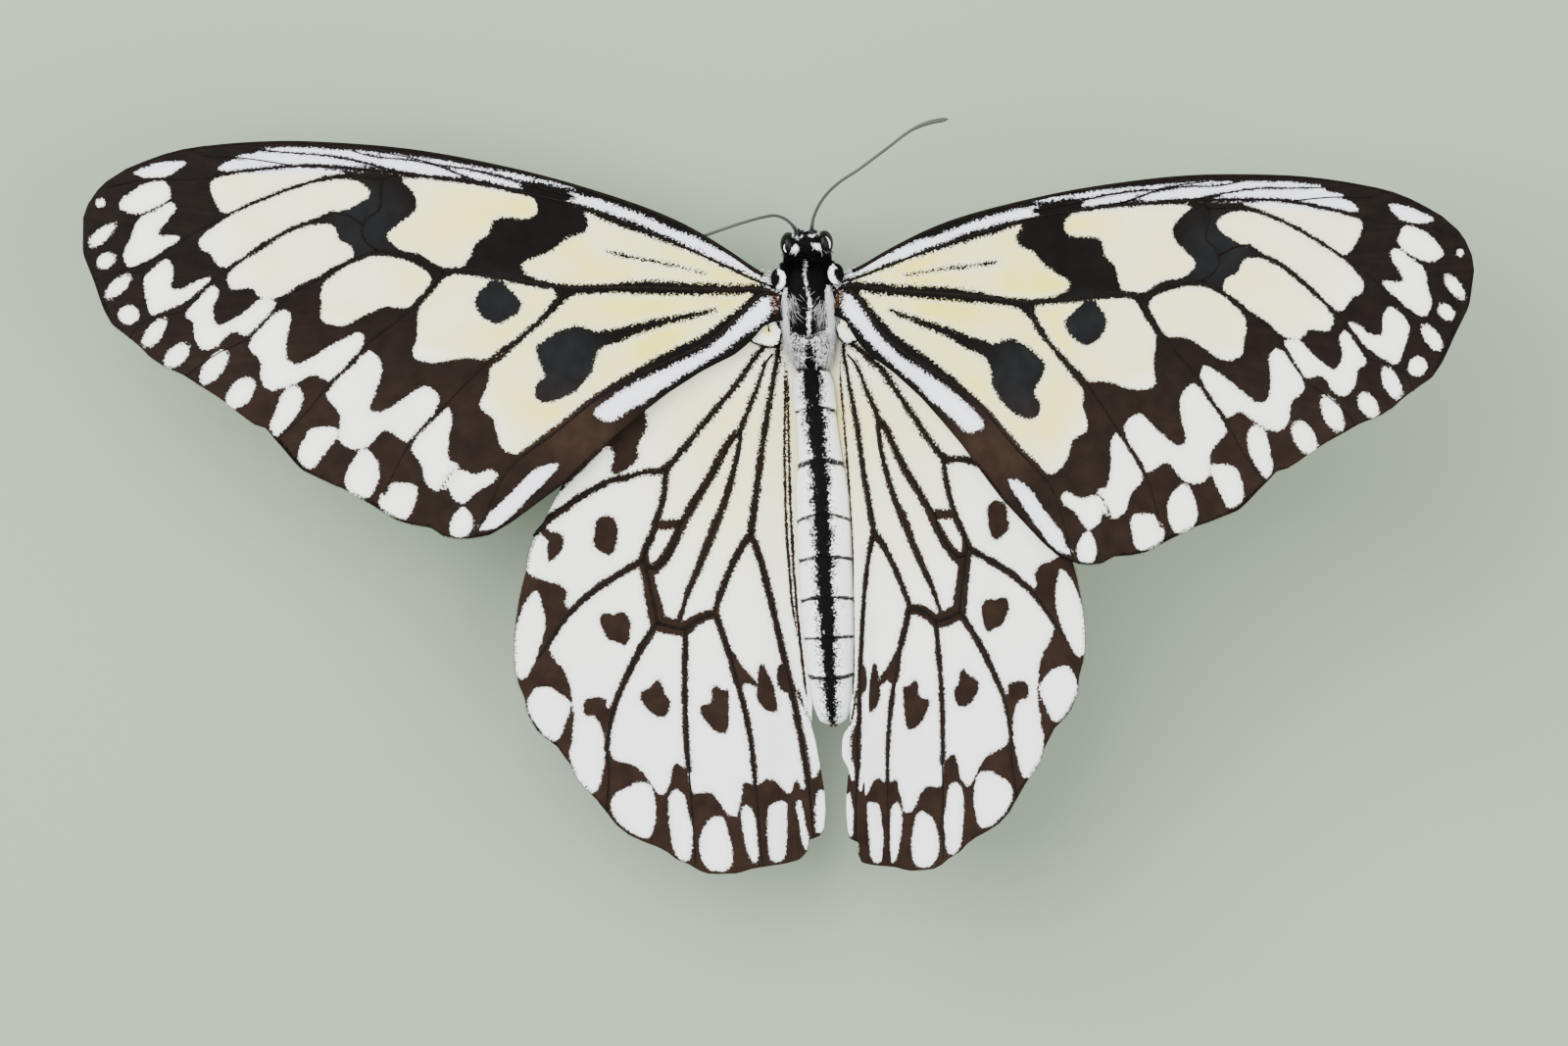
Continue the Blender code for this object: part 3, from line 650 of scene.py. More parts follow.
FOREWING_FRONT = (
    -1.9, 0.3, -0.6, 0.5, 0.3, 0.8, 1.2, 1.38, 3.5, 2.94, 5.15, 3.93, 6.8, 4.9, 8.4, 5.7, 10.1, 6.36, 13.4,
    7.55, 16.7, 8.53, 20, 9.39, 23.2, 10.15, 26.5, 10.84, 29.8, 11.36, 32.3, 11.65, 35.6, 11.95, 38.9, 12.13,
    42.1, 12.2, 45.4, 12.07, 48.7, 11.77, 50.4, 11.5, 52, 11.08, 53.7, 10.47, 55.3, 9.81, 57, 8.74, 57.8,
    7.95, 58.6, 6.77, 59, 5.6, 59.2, 4.1)
FOREWING_BACK = (
    -1.9, -3.1, -0.6, -3.3, 0.3, -3.7, 0.85, -4.4, 1.7, -5.3, 2.8, -6.2, 5.7, -7.9, 8.5, -9.7, 11, -11.65,
    13.1, -13.4, 14.9, -15.15, 17.6, -17.6, 19.9, -19.3, 22, -20.85, 22.9, -21.4, 23.9, -21.97, 25.6, -22.3,
    26.8, -22.3, 28, -22.05, 29, -21.4, 30.7, -21.1, 32, -20.7, 33, -20.1, 34.1, -19.4, 35.2, -18.8, 36.4,
    -18.1, 37.4, -17.7, 39.1, -16.9, 40.1, -16.4, 40.8, -15.7, 41.7, -14.6, 42.5, -13.7, 43.2, -12.85, 44.2,
    -12.5, 45.2, -11.8, 46.2, -11, 47.4, -10.1, 49, -9.1, 50.4, -8.2, 52, -7.5, 53.2, -6.7, 54.2, -5.7, 55.3,
    -4.8, 56.5, -3.85, 57.2, -2.6, 57.6, -1.5, 58, -0.3, 58.4, 0.7, 58.85, 1.8, 59.2, 3.1)

FOREWING_WINDOWS = {
    "cell_base": (0.5, 0.02, 1.6, 0.5, 3.5, 1.28, 6.8, 2.78, 10.1, 3.92, 13.4, 5.1, 15.8, 6, 15.4, 5.1, 15.8,
        4.3, 17.3, 3.8, 18.5, 2.8, 20, 2.1, 21.1, 1.6, 20.9, 0.8, 19.1, 0.05, 15.8, -0.2, 10.1, 0.2, 6.8,
        0.05, 3.5, -0.05, 1.6, -0.06),
    "cell_end": (31.6, 8.8, 29.8, 8.9, 26.5, 8.5, 23.2, 8, 20.4, 7.3, 19.8, 6.2, 20.6, 5.5, 22.9, 5.6, 23.7,
        5.2, 24.1, 4.2, 25.2, 3.3, 25.8, 2, 26.5, 1.1, 28, 1.1, 29.8, 2.3, 31.9, 2.9, 32.8, 4, 31.8, 5, 30.8,
        5.7, 30.2, 6.6, 30.6, 7.8),
    "front_first": (36.6, 9.4, 38.9, 9.8, 41, 9.9, 43.8, 9.5, 46.3, 9.2, 48, 8.6, 47.3, 6.3, 46.7, 5.9, 44.1,
        7, 42.1, 7.9, 40, 8.6, 38, 9.1),
    "front_second": (36.1, 8.8, 34.9, 8.4, 34.3, 7.6, 35.1, 6.8, 38, 5.7, 40.5, 5, 43.8, 3.2, 46.6, 1.2, 47.3,
        1.3, 48, 2.4, 48.8, 2.8, 48.9, 3.6, 48.1, 4.4, 46.1, 5.8, 44.1, 6.7, 42.1, 7.5, 40, 8.2, 38, 8.7),
    "middle_first": (37.4, 4.8, 38.2, 5, 40.5, 4.5, 43.8, 2.6, 46.4, 0.7, 46.5, -0.1, 46.1, -0.6, 44.4, -0.6,
        43.9, -1.2, 43, -1.5, 41.6, -1.1, 40.5, -0.3, 38.9, 0.4, 37.2, 1.4, 35.7, 2.2, 36, 3.1, 36.9, 3.6),
    "middle_second": (34.6, 2, 33.3, 2.2, 31.9, 2, 29.5, 1, 29, 0.1, 29.8, -1.3, 31, -2.2, 32.9, -2.2, 34.3,
        -2.7, 36.7, -3.8, 38.5, -3.2, 38.4, -2, 38.5, -1, 38.1, 0, 35.9, 1.5),
    "below_cell": (18.2, -0.85, 20, -0.45, 23.2, 0.1, 25.5, 0.5, 27.5, 0.5, 28.8, -0.9, 30, -2.3, 30.2, -4.9,
        30.6, -6.4, 29.5, -6.9, 28, -6.9, 26.1, -6.5, 23.9, -6.6, 21, -4.2, 19.6, -2.9),
    "hind_cell": (1.3, -0.92, 2.5, -1.02, 6, -1.02, 10, -1, 15, -0.95, 16.8, -1.2, 18.6, -2.6, 21.6, -5.5,
        23.2, -6.9, 23.9, -7.5, 24, -8.7, 24.8, -10.7, 23.6, -11.8, 23.4, -12.8, 22.9, -14.2, 21.8, -14.8,
        19.9, -14, 17.1, -11.6, 14.2, -9.3, 11.4, -7.45, 8.5, -5.85, 5.7, -4.5, 4, -3.3, 2.3, -1.95),
    "front_strip": (-0.3, 0.3, 0.9, 0.85, 2, 1.75, 3, 2.33, 4.6, 3.15, 6.1, 3.87, 7.7, 4.45, 9.2, 5.1, 10.7,
        5.77, 12.3, 6.37, 13.8, 6.92, 15.3, 7.36, 17.2, 7.76, 16.4, 7.28, 17.4, 7, 15.3, 6.53, 13.8, 6.06,
        12.3, 5.52, 10.7, 4.97, 9.2, 4.27, 7.6, 3.59, 6.1, 2.89, 4.6, 2.17, 3, 1.44, 1.4, 0.7, 0.2, 0.2),
    "front_band": (16.6, 8.16, 19.9, 8.95, 23, 9.61, 26.1, 10.15, 29.6, 10.63, 32.3, 11, 34, 11.17, 36.4,
        11.34, 39.4, 11.56, 42.5, 11.55, 43.6, 11.42, 44.2, 11.1, 45.8, 10.82, 45.4, 10.54, 43.5, 10.21, 40,
        10, 34, 9.4, 28.9, 9.1, 24.3, 8.45, 23, 8.3, 21.2, 7.95, 21.45, 8.5, 21, 8.72, 19.9, 8.68, 18.4,
        8.37),
    "front_strip_tip": (47.4, 9.65, 47, 10.1, 45.8, 10.5, 43.8, 10.4, 41.3, 10.1, 43.8, 9.8, 46.3, 9.5),
    "tip_first": (50.2, 10.3, 51.3, 10.4, 53.8, 9.8, 54.6, 9.4, 53.2, 8.95, 51.4, 9.3),
    "tip_second": (52, 8.7, 53, 8.6, 54.5, 8, 55.9, 6.6, 55, 5.95, 53.7, 6, 51.5, 7.3, 51.6, 8.1),
    "tip_third": (51.4, 6.8, 51, 6.4, 51.6, 5.4, 52.5, 4.1, 50.7, 3.9, 51, 3.3, 52.8, 2.2, 55, 1.3, 55.5, 2.2,
        55, 3.5, 54.2, 5.4, 52.8, 6.1),
    "outer_first": (51.7, 1.9, 51.2, 1.2, 51.3, -0.5, 50.5, -0.6, 48.7, 0.25, 48, 0.3, 48.7, -0.7, 50, -1.6,
        52.2, -2.6, 53.1, -2.8, 53.6, -1.1, 53.7, 0.35, 52.8, 1.3),
    "outer_second": (47.7, -0.4, 47.3, -0.9, 47.8, -2.4, 47.4, -3.7, 45.4, -2.9, 43.5, -1.5, 42.3, -1.8, 43.1,
        -2.9, 44.8, -4.6, 46.1, -4.3, 47.7, -5.7, 48.7, -5.8, 49.3, -5, 49.5, -3.5, 50.2, -3, 48.9, -1.4),
    "outer_third": (41.7, -2.4, 41.1, -2.9, 41.5, -5.1, 41.4, -6.7, 40.6, -7.1, 39.1, -6.4, 37.4, -5.4, 35,
        -4.4, 34.8, -5.4, 36.1, -6.9, 37.6, -8.6, 39, -8, 40.6, -8.7, 42.8, -9.3, 43.7, -8.3, 43.7, -6.8,
        44.7, -5.6, 43.4, -3.6),
    "outer_third_low": (41.7, -9.5, 42.2, -10.7, 42.8, -12.5, 42.3, -13.3, 41.5, -12.7, 40.3, -11, 40, -9.6,
        40.6, -9),
    "outer_fourth": (34.2, -6, 33.3, -7, 33.4, -8.6, 34.3, -11, 33.5, -11.3, 31.4, -10.1, 29.5, -9, 28.3,
        -9.9, 28.6, -11, 30.2, -13, 31, -13.8, 32.9, -12.8, 34.4, -14.1, 35.9, -14.4, 36.9, -13.6, 36.8,
        -11.5, 38, -9.8, 37.6, -9.1, 35.4, -6.8),
    "outer_fourth_low": (36.9, -12.8, 39.1, -12.6, 40, -13.7, 40.4, -15.2, 39.3, -16.1, 38, -14.6),
    "outer_fifth": (34.8, -14.4, 36.1, -16.1, 36.4, -17.3, 35.7, -18.3, 34.5, -18.6, 33.5, -17.1, 33.6,
        -15.5),
    "outer_sixth": (32.4, -17.4, 33.5, -18.9, 33, -19.8, 31.2, -20.4, 30.5, -19.3, 30.2, -17.7, 31.3, -17.3),
    "corner_first": (27.5, -10.8, 27.2, -11.6, 27.5, -13.7, 27.4, -15.4, 26.6, -15.8, 27.1, -17.3, 28.6, -18,
        29.5, -17.2, 29.8, -15.7, 30.7, -14.4, 28.8, -12),
    "corner_second": (26.5, -16.2, 25.3, -16.6, 23.7, -16.2, 23.2, -17, 24.9, -17.9, 26.3, -19.1, 27.3, -18.3,
        27.3, -17.3),
    "corner_third": (26.3, -19.3, 27.3, -20.8, 27.2, -21.8, 25.9, -21.9, 25.4, -20.5),
    "corner_streak": (18, -15.65, 19.9, -16.1, 22, -18.1, 24.2, -20.1, 25, -21.3, 23.3, -21.05, 20.9, -18.9),
    "hind_strip": (-0.3, -1.2, 0.5, -1.35, 1.5, -2.3, 2.6, -3.45, 5, -5.55, 8.4, -7.2, 11.7, -8.8, 14, -10.3,
        15, -11.3, 13.6, -12, 11.9, -11, 9.7, -9.65, 7.5, -8.1, 5.3, -6.8, 3.2, -5.4, 1.4, -4, 0.3, -3.2,
        -0.4, -2.2),
}
# Oval spots along the outer edge: centre, half length, half width, direction of the length
FOREWING_SPOTS = (
    (57.5, 6.8, 0.35, 0.35, 1, 0), (57.4, 4, 1.4, 0.55, -0.75, 0.66), (57, 1.83, 0.85, 0.6, -0.85, 0.5),
    (55.97, -0.39, 1.35, 0.6, -0.74, 0.67), (55, -2.86, 0.9, 0.8, 1, 0), (52.8, -4.4, 1.45, 0.7, -0.62, 0.78),
    (50.9, -6.4, 1.3, 0.75, -0.72, 0.69), (47.7, -7.4, 1.7, 0.8, -0.6, 0.8), (45.4, -9.6, 1.6, 0.95, -0.65,
        0.75))
FOREWING_ISLANDS = {
    "cell_spot": (24.2, -0.2, 24.9, -0.85, 25.25, -1.75, 24.9, -2.66, 24.1, -3.4, 23.25, -3.64, 22.4, -3.2,
        21.5, -2.66, 21.2, -1.8, 21.6, -1.2, 22.4, -0.43, 22.9, 0.14, 23.8, 0.2),
    "hind_blotch": (14, -4.45, 14.85, -4.2, 16.3, -3.7, 17.2, -3.9, 18.3, -4.3, 19.3, -5, 19.9, -5.5, 19.9,
        -6.3, 19.5, -7.3, 19.3, -8.1, 19.9, -8.7, 20.1, -9.4, 19.95, -10.06, 19.1, -10.4, 18, -10.1, 16.8,
        -9.6, 15.8, -8.6, 15.1, -7.8, 14.9, -6.9, 14.5, -5.9, 14, -5.45),
}
# Dark lines over the white: width at the start and at the end, then the route
FOREWING_STROKES = (
    (0.3, 1.45, (4.5, -2.3, 6.8, -2.9, 10.1, -3.64, 12.5, -4.4, 14, -4.8)),
    (0.24, 0.12, (13.9, 2.7, 11.6, 2.15, 9.4, 1.8, 7.6, 1.38, 6.1, 1, 5.3, 0.85)),
    (0.55, 0.34, (28, 0.8, 30, -1.6, 32, -3.4, 34.3, -5.2, 35.7, -6.9, 37.9, -9, 39.5, -11, 42.3, -13.6)),
    (0.66, 0.36, (17.65, -0.85, 18.3, -2, 20, -3.7, 21.6, -5.04, 23.9, -6.7, 27.8, -10.65, 30.8, -13.9, 33,
        -18.2)),
    (0.4, 0.3, (33.2, 8.8, 36.5, 9.15, 40, 8.4, 44.1, 6.85, 47.7, 5.1, 51, 3.2, 53.2, 1.8)),
    (0.42, 0.34, (37.5, 5.95, 38.9, 5.3, 40.5, 4.8, 42.1, 3.97, 43.8, 2.98, 45.4, 1.83, 48.1, -0.14, 50.2,
        -2.2)),
    (0.42, 0.34, (33.6, 2.7, 35.9, 1.83, 38.9, 0.1, 41.3, -1.2, 43.1, -3.2, 44.8, -4.9)),
    (0.55, 0.34, (18.3, 7.25, 21.6, 7.85, 24.9, 8.57, 28.2, 8.95, 33.9, 9.6, 40, 10, 46.3, 9.4)),
    (0.3, 0.14, (31.2, 9.32, 33, 9.77, 34.7, 10.22, 36.4, 10.62, 38.1, 10.9, 40.4, 11.05, 42.8, 11.25, 44.2,
        11.38)),
    (0.34, 0.12, (24.8, 8.6, 25.5, 8.8, 26.5, 9.26, 27.9, 9.84, 29.1, 10.18, 30.9, 10.49, 33.8, 10.76, 35.7,
        11.26)),
    (0.3, 0.14, (21, 8.6, 23, 9.08, 24.5, 9.46, 26.3, 9.8, 28.4, 10.1, 30.6, 10.66)),
    (0.2, 0.2, (26.6, -15.9, 27.1, -16.3, 27.7, -17.1, 28.2, -17.9)),
    (0.6, 0.5, (17.65, -0.43, 20, -0.06, 23.2, 0.47, 24.9, 1, 28, 0.96)),
    (0.5, 0.45, (28, 0.96, 29, 1.42, 30.6, 2.08, 32.3, 2.5, 33.3, 2.65)),
    (0.6, 0.95, (0.3, -0.8, 1.85, -2.15, 3.8, -4.1, 5.15, -5.1, 8.4, -6.7, 11.7, -8.2, 15, -10.2, 18, -12.7,
        21.6, -15.4, 22.8, -16.8, 24.8, -20.5)),
)
# Middles and radii of the blotches where a bluish reflection is painted over the black scales
FOREWING_PAINTED_REFLECTION = ((23.2, -1.8, 2.6), (17.5, -7.2, 3.8), (34.5, 5.2, 3.4))
# Lines that the colours follow: the cream's end, as a run of v and u, then two veins, as runs of u and v
CREAM_END = (-15, 24.5, -9, 27.5, -6, 31.5, -3.6, 39, -0.7, 47.5, 5, 50, 12, 52)
HIND_VEIN = (
    0, -0.7, 1.85, -2.1, 3.8, -4, 5.15, -5.1, 8.4, -6.7, 11.7, -8.2, 15, -10.2, 18, -12.7, 21.6, -15.4, 30,
    -26)
CELL_FRONT = (0, 0.1, 3.5, 1.55, 10, 4.1, 17, 6.85, 30, 9.3)
EDGE_INSET = 0.24                      # the membrane ends this far inside the fringe's tips
# Veins that stand out of the membrane: width at the start and at the end, then the route
FOREWING_VEINS = (
    (0.34, 0.24, (-0.6, -0.3, 1.03, 0.3, 3.5, 1.45, 6.8, 2.95, 10.1, 4.3, 13.4, 5.55, 16.7, 6.72, 21.6, 7.85,
        28.2, 8.95, 33.9, 9.6, 37.2, 9.87, 40, 10, 43.8, 9.7, 46.3, 9.4, 50, 8.8, 53, 8.9, 57, 8.2)),
    (0.5, 0.2, (0.3, 0.75, 1.2, 1.25, 3.5, 2.8, 6.8, 4.75, 10.1, 6.2, 16.7, 8.36, 23.2, 9.98, 29.8, 11.2,
        35.6, 11.8, 42.1, 12.05, 48.7, 11.6, 52, 10.9, 55.3, 9.6)),
    (0.2, 0.14, (16.7, 7.4, 20, 8.2, 23, 9.08, 24.5, 9.46, 26.3, 9.8, 28.4, 10.1, 30.6, 10.66, 33, 11.1)),
    (0.18, 0.14, (24.8, 8.6, 26.5, 9.26, 27.9, 9.84, 30.9, 10.49, 33.8, 10.76, 36, 11.3)),
    (0.18, 0.14, (31.2, 9.32, 33, 9.77, 34.7, 10.22, 36.4, 10.62, 38.1, 10.9, 40.4, 11.05, 44.2, 11.38)),
    (0.18, 0.14, (41.2, 10.05, 44.8, 10.6, 49, 10.9)),
    (0.3, 0.2, (31.4, 9.4, 33.2, 8.8, 33.4, 7.4, 33.4, 6.3, 34.6, 5.4, 35, 4.2, 34.4, 3.2, 33.3, 2.65, 32.3,
        2.5, 30.6, 2.08, 29, 1.42, 28, 0.96)),
    (0.26, 0.16, (33.2, 8.8, 36.5, 9.15, 38, 8.9, 40, 8.4, 42.1, 7.67, 44.1, 6.85, 46.1, 6, 47.7, 5.1, 50,
        3.9, 51, 3.2, 53.2, 1.8, 55.2, 1.1, 57.8, 0.5)),
    (0.26, 0.16, (34.9, 4.9, 36.2, 5.7, 37.5, 5.95, 38.9, 5.3, 40.5, 4.8, 42.1, 3.97, 43.8, 2.98, 45.4, 1.83,
        48.1, -0.14, 50.2, -2.45, 52.3, -2.9, 54, -3.6, 55, -4.9)),
    (0.26, 0.16, (33.6, 2.7, 35.9, 1.83, 38.9, 0.1, 41.3, -1.2, 43.1, -3.2, 44.8, -4.9, 47.2, -6.1, 49.3,
        -7.5, 50, -8.2)),
    (0.6, 0.3, (-0.8, -0.9, 0.2, -0.5, 3.5, -0.55, 10.1, -0.42, 13.4, -0.43, 17.65, -0.43, 20, -0.06, 23.2,
        0.47, 24.9, 1, 28, 0.96)),
    (0.28, 0.16, (28, 0.96, 30, -1.6, 32, -3.4, 34.3, -5.2, 35.7, -6.9, 37.9, -9, 39.5, -11, 42.2, -13.6)),
    (0.3, 0.16, (17.65, -0.5, 18.3, -2, 20, -3.7, 21.6, -5.04, 23.9, -6.7, 27.8, -10.65, 30.8, -13.9, 32.8,
        -17.6)),
    (0.5, 0.24, (-0.4, -0.75, 0.5, -1, 1.85, -2.2, 3.8, -4.1, 5.15, -5.1, 8.4, -6.7, 11.7, -8.2, 15, -10.2,
        18, -12.7, 21.6, -15.4, 22.8, -16.8, 25.2, -21.9)),
)

HINDWING_OUTER = (
    1.6, -3.4, 5, -5.6, 9.5, -8.6, 14, -12.6, 17.6, -16.8, 19.95, -21.4, 20.5, -22.3, 20.9, -23.6, 21, -24.65,
    21.35, -25.9, 21.7, -27.45, 21.95, -29.2, 22.05, -30.6, 22.05, -32.1, 21.95, -33.5, 21.7, -34.6, 21.2,
    -35.8, 20.9, -37.2, 20.1, -38.6, 19.2, -39.4, 18.4, -39.96, 17.8, -40.8, 17.2, -41.6, 16.7, -42.7, 15.9,
    -43.6, 15, -44.55, 14, -45.8, 13.3, -46.7, 12.2, -47.6, 10.9, -48.2, 9.8, -48.6, 8.9, -49.07, 8.1, -49.7,
    7, -50.15, 6.1, -50.7, 5.2, -51, 4.2, -51.2)
HINDWING_INNER = (
    4.2, -51.2, 3.1, -51.06, 2.05, -50.85, 0.96, -50.5, -1.84, -50.15, -3.1, -49.84, -3.7, -49.2, -4, -48.1,
    -4.8, -47.8, -5.07, -47.04, -5.1, -45.6, -4.95, -43.9, -4.7, -42.4, -4.4, -40.8, -4.2, -39.6, -3.9, -38.3,
    -3.6, -37)
HINDWING_WINDOWS = {
    "field": (1.6, -4.6, 5, -6.8, 9, -9.4, 13.3, -13.6, 17, -17.2, 19.2, -19.3, 20.4, -21.6, 20.8, -23.6,
        20.9, -24.7, 20.2, -25.3, 18.9, -25.8, 17.9, -26.1, 17.3, -26.8, 17.5, -27.6, 17.2, -28.5, 18.4,
        -30.4, 18.8, -31.6, 18.3, -32.5, 17.5, -33.5, 17.1, -34.6, 16.9, -35.8, 16.7, -37.3, 16.9, -39.4, 17,
        -41, 16.6, -42.4, 15.3, -43.9, 14.7, -43.7, 14.2, -42, 14, -40.5, 13.6, -40.3, 13.3, -41, 12.2, -41.4,
        11.1, -41.8, 10.2, -43, 9.2, -44.2, 8.5, -43.4, 8.3, -42.2, 7.9, -41.4, 7, -42, 6.8, -42.8, 6.4, -44,
        5, -43.9, 4.2, -44.7, 3.4, -45.8, 2.7, -45.9, 2.3, -44.6, 2, -43.1, 1.5, -43.2, 0.9, -43.3, 0, -42.8,
        -0.8, -43, -1.6, -43.9, -2.1, -44, -2.6, -42.9, -3.2, -43.8, -3.6, -43, -4.1, -42.6, -4.6, -40, -5,
        -36, -5, -31, -5, -26, -5, -21, -5, -15, -5, -8, -3, -4.6),
    "edge_first": (19.95, -26.6, 20.6, -27.15, 21.35, -28.7, 21.8, -30.4, 21.95, -32.3, 21.7, -33.8, 21.2,
        -34.2, 20.7, -33.8, 20.1, -32.6, 19.6, -31.2, 19.25, -29.8, 19.25, -28.7, 19.6, -27.3),
    "edge_second": (19.95, -34.9, 18.7, -34.9, 17.8, -35.5, 17.1, -36.2, 17.1, -36.95, 17.5, -38, 17.9, -39.1,
        18.4, -39.5, 19.2, -39.1, 20.1, -38, 20.7, -36.95, 20.7, -36.2),
    "edge_fourth": (11.5, -43.15, 10.3, -43.15, 9.9, -43.9, 9.65, -45.3, 9.8, -46.7, 10.1, -47.7, 10.8, -47.8,
        11.9, -47.3, 12.8, -46.6, 13.4, -45.6, 13.5, -44.7, 12.95, -43.9, 12.3, -43.6),
    "edge_fifth": (7.9, -43.7, 7.3, -44.1, 6.9, -45.5, 6.5, -47, 6.5, -48, 6.7, -49.5, 7, -49.8, 7.66, -49.6,
        8.1, -48.9, 8.4, -47.2, 8.6, -45.3, 8.4, -44.1),
    "edge_sixth": (4.2, -45.95, 3.7, -46.4, 3.3, -47.7, 3.07, -48.8, 3.2, -50.3, 3.9, -50.75, 5, -50.6, 5.6,
        -49.85, 5.9, -48.4, 5.6, -47.2, 5, -46.3),
    "edge_seventh": (1.9, -45.05, 1.4, -45.3, 1.04, -46.4, 0.9, -48, 0.8, -49.5, 0.96, -50.15, 1.4, -49.8,
        1.9, -48.3, 2.2, -46.7, 2.2, -45.5),
    "edge_eighth": (-0.3, -45.1, -1.6, -44.8, -1.76, -46.1, -1.76, -47.7, -1.5, -49.7, -0.5, -49.9, -0.1,
        -48.6, -0.05, -46.4),
    "edge_ninth": (-2.8, -44.6, -3.1, -45.2, -3.4, -46.7, -3.7, -48, -3.55, -49.07, -3.2, -48.6, -2.85, -46.7,
        -2.6, -45.2),
    "edge_tenth": (-4.3, -43.8, -4.7, -43.9, -4.95, -45.5, -5.03, -46.9, -4.7, -47.5, -4.25, -47.35, -4.1,
        -46.1, -4.2, -44.7),
}
HINDWING_ISLANDS = {
    "outer_spot": (14, -20.13, 14.8, -20.6, 15, -21.9, 15.05, -22.6, 14.35, -23.25, 13.7, -23.56, 13.3, -23.3,
        13, -22.2, 13, -20.8, 13.4, -20.27),
    "second_spot": (14, -28.5, 14.35, -28.6, 14.5, -29.3, 14.2, -30.1, 13.7, -30.8, 12.95, -31.03, 12.3,
        -31.3, 12, -30.9, 11.8, -29.8, 11.8, -29.2, 12.2, -28.55, 12.8, -28.4, 13.3, -28.55),
    "third_spot": (9.5, -34.15, 10, -34.7, 10.6, -35.1, 11, -35.5, 10.8, -36.2, 10.3, -36.9, 9.5, -37.4, 8.75,
        -37.3, 8.4, -36, 8.9, -35.4, 9.1, -34.6),
    "fourth_spot": (4.5, -34.7, 4.86, -35.1, 4.86, -36, 5.2, -36.3, 5.8, -36.5, 5.8, -37.1, 5.2, -38, 4.5,
        -38.7, 3.6, -38.9, 3.3, -37.9, 3.3, -36, 3.4, -35.1, 3.8, -35.2),
    "fifth_spot": (0.58, -32.9, 0.8, -33.4, 0.9, -34.6, 0.96, -35.7, 0.4, -36.6, -0.28, -37, -0.9, -37, -0.9,
        -36, -0.6, -34.8, -0.1, -33.7, 0.26, -33),
    "sixth_spot": (-1.06, -33.05, -1.03, -34.8, -1.7, -35.4, -2.46, -35.4, -2.2, -34.1, -1.8, -32.9),
    "edge_spot": (15.6, -35.8, 15.98, -36.5, 15.7, -37.3, 15.1, -37.3, 14.5, -38, 14.1, -39.3, 13.4, -36.85,
        13.9, -36.6, 13.9, -35.9),
    "front_shadow": (11, -10.5, 10.4, -12.5, 10.8, -13.4, 11.2, -14.2, 11.2, -15.2, 11.8, -15.9, 12.65,
        -16.36, 13.2, -16.6, 13.6, -16.2, 13.4, -15.5, 13.3, -14.8, 13.7, -14.2, 15, -13.4, 14, -12),
    "corner_spot": (18.1, -21.5, 17.6, -22, 17.7, -22.8, 18.2, -23.6, 18.9, -24.1, 19, -23.25, 19, -22.3,
        19.3, -21.7),
    "wedge": (3.68, -31.1, 2.7, -32.2, 2.1, -33.1, 1, -34.35, 0.75, -35, 1.9, -34.6, 2.35, -35.2, 2.65, -35.1,
        3.2, -33.9, 3.4, -32.6),
}
HINDWING_STROKES = (
    (0.62, 0.72, (9.2, -16.3, 10.7, -16.4, 12.1, -16.8, 13.5, -17.1, 14.9, -17.8, 16.35, -18.6, 17.3, -19.35,
        18.5, -20.1, 20, -21.4)),
    (1, 1.55, (10.7, -23.7, 10.6, -24.3, 10.3, -25.6, 10, -27, 9.7, -28.2, 9.5, -29.3)),
    (1.55, 0.85, (9.5, -29.3, 8.6, -29.6, 7.5, -29.86, 7, -29.8, 6.3, -29.2, 5.5, -28.8, 4.6, -28.6)),
    (0.95, 0.85, (7.8, -20.8, 8.9, -20.9, 9.7, -20.9)),
    (0.24, 0.16, (-2.6, -35.2, -3.1, -36.6, -3.75, -38.3)),
    (0.5, 0.3, (1.9, -34, 0.6, -34.9)),
    (0.55, 0.75, (-0.6, -4.9, 0.55, -5.9, 2.8, -8.96, 5.7, -12.4, 8.5, -15.8, 9.2, -16.3)),
    (0.61, 0.79, (8.7, -16.1, 9, -18.5, 9.7, -21, 10.5, -22.9, 10.7, -23.7)),
    (0.37, 0.73, (0.13, -6.96, 1.1, -9.67, 2.1, -12.1, 2.4, -12.9)),
    (0.73, 1.05, (2.4, -12.9, 3.1, -13.5, 4.97, -16.8, 6.8, -19.8, 7.9, -22, 9, -23.9, 10.3, -25.2)),
    (0.45, 0.93, (2.3, -12.9, 2.97, -16.4, 3.8, -19.2, 4.4, -20.6)),
    (0.93, 0.47, (4.4, -20.6, 5.8, -24.2, 6.9, -26.8, 7.66, -29.2)),
    (0.53, 0.79, (-0.95, -5.2, -0.97, -6.25, -0.44, -9.2, 0.27, -13.2, 0.84, -17.2, 1.43, -21.7)),
    (0.75, 0.63, (1.43, -21.7, 2.5, -23.25, 3.9, -26.4, 4.55, -28.5)),
    (0.73, 0.55, (1.43, -21.7, 0.65, -23.7, -0.28, -27.1, -1.1, -30.6, -1.84, -33.7, -2.5, -36.9, -3.1, -40,
        -3.55, -42.7, -4.1, -48)),
    (0.73, 0.59, (10.7, -23.9, 12.2, -24.8, 15.3, -26.8, 17.3, -28.7, 18.9, -31)),
    (0.75, 0.55, (9.5, -29.3, 11.2, -31.97, 12.6, -34.9, 13.5, -37.3, 13.9, -40.2)),
    (0.63, 0.53, (7.1, -29.9, 7.16, -35.1, 6.96, -40.5, 6.8, -42)),
    (0.75, 0.53, (4.4, -28.7, 3.8, -30.6, 3, -32.9, 2.2, -35.9, 1.5, -39.1, 1.04, -43.15)),
    (0.83, 0.63, (19.6, -21, 18.9, -22)),
)
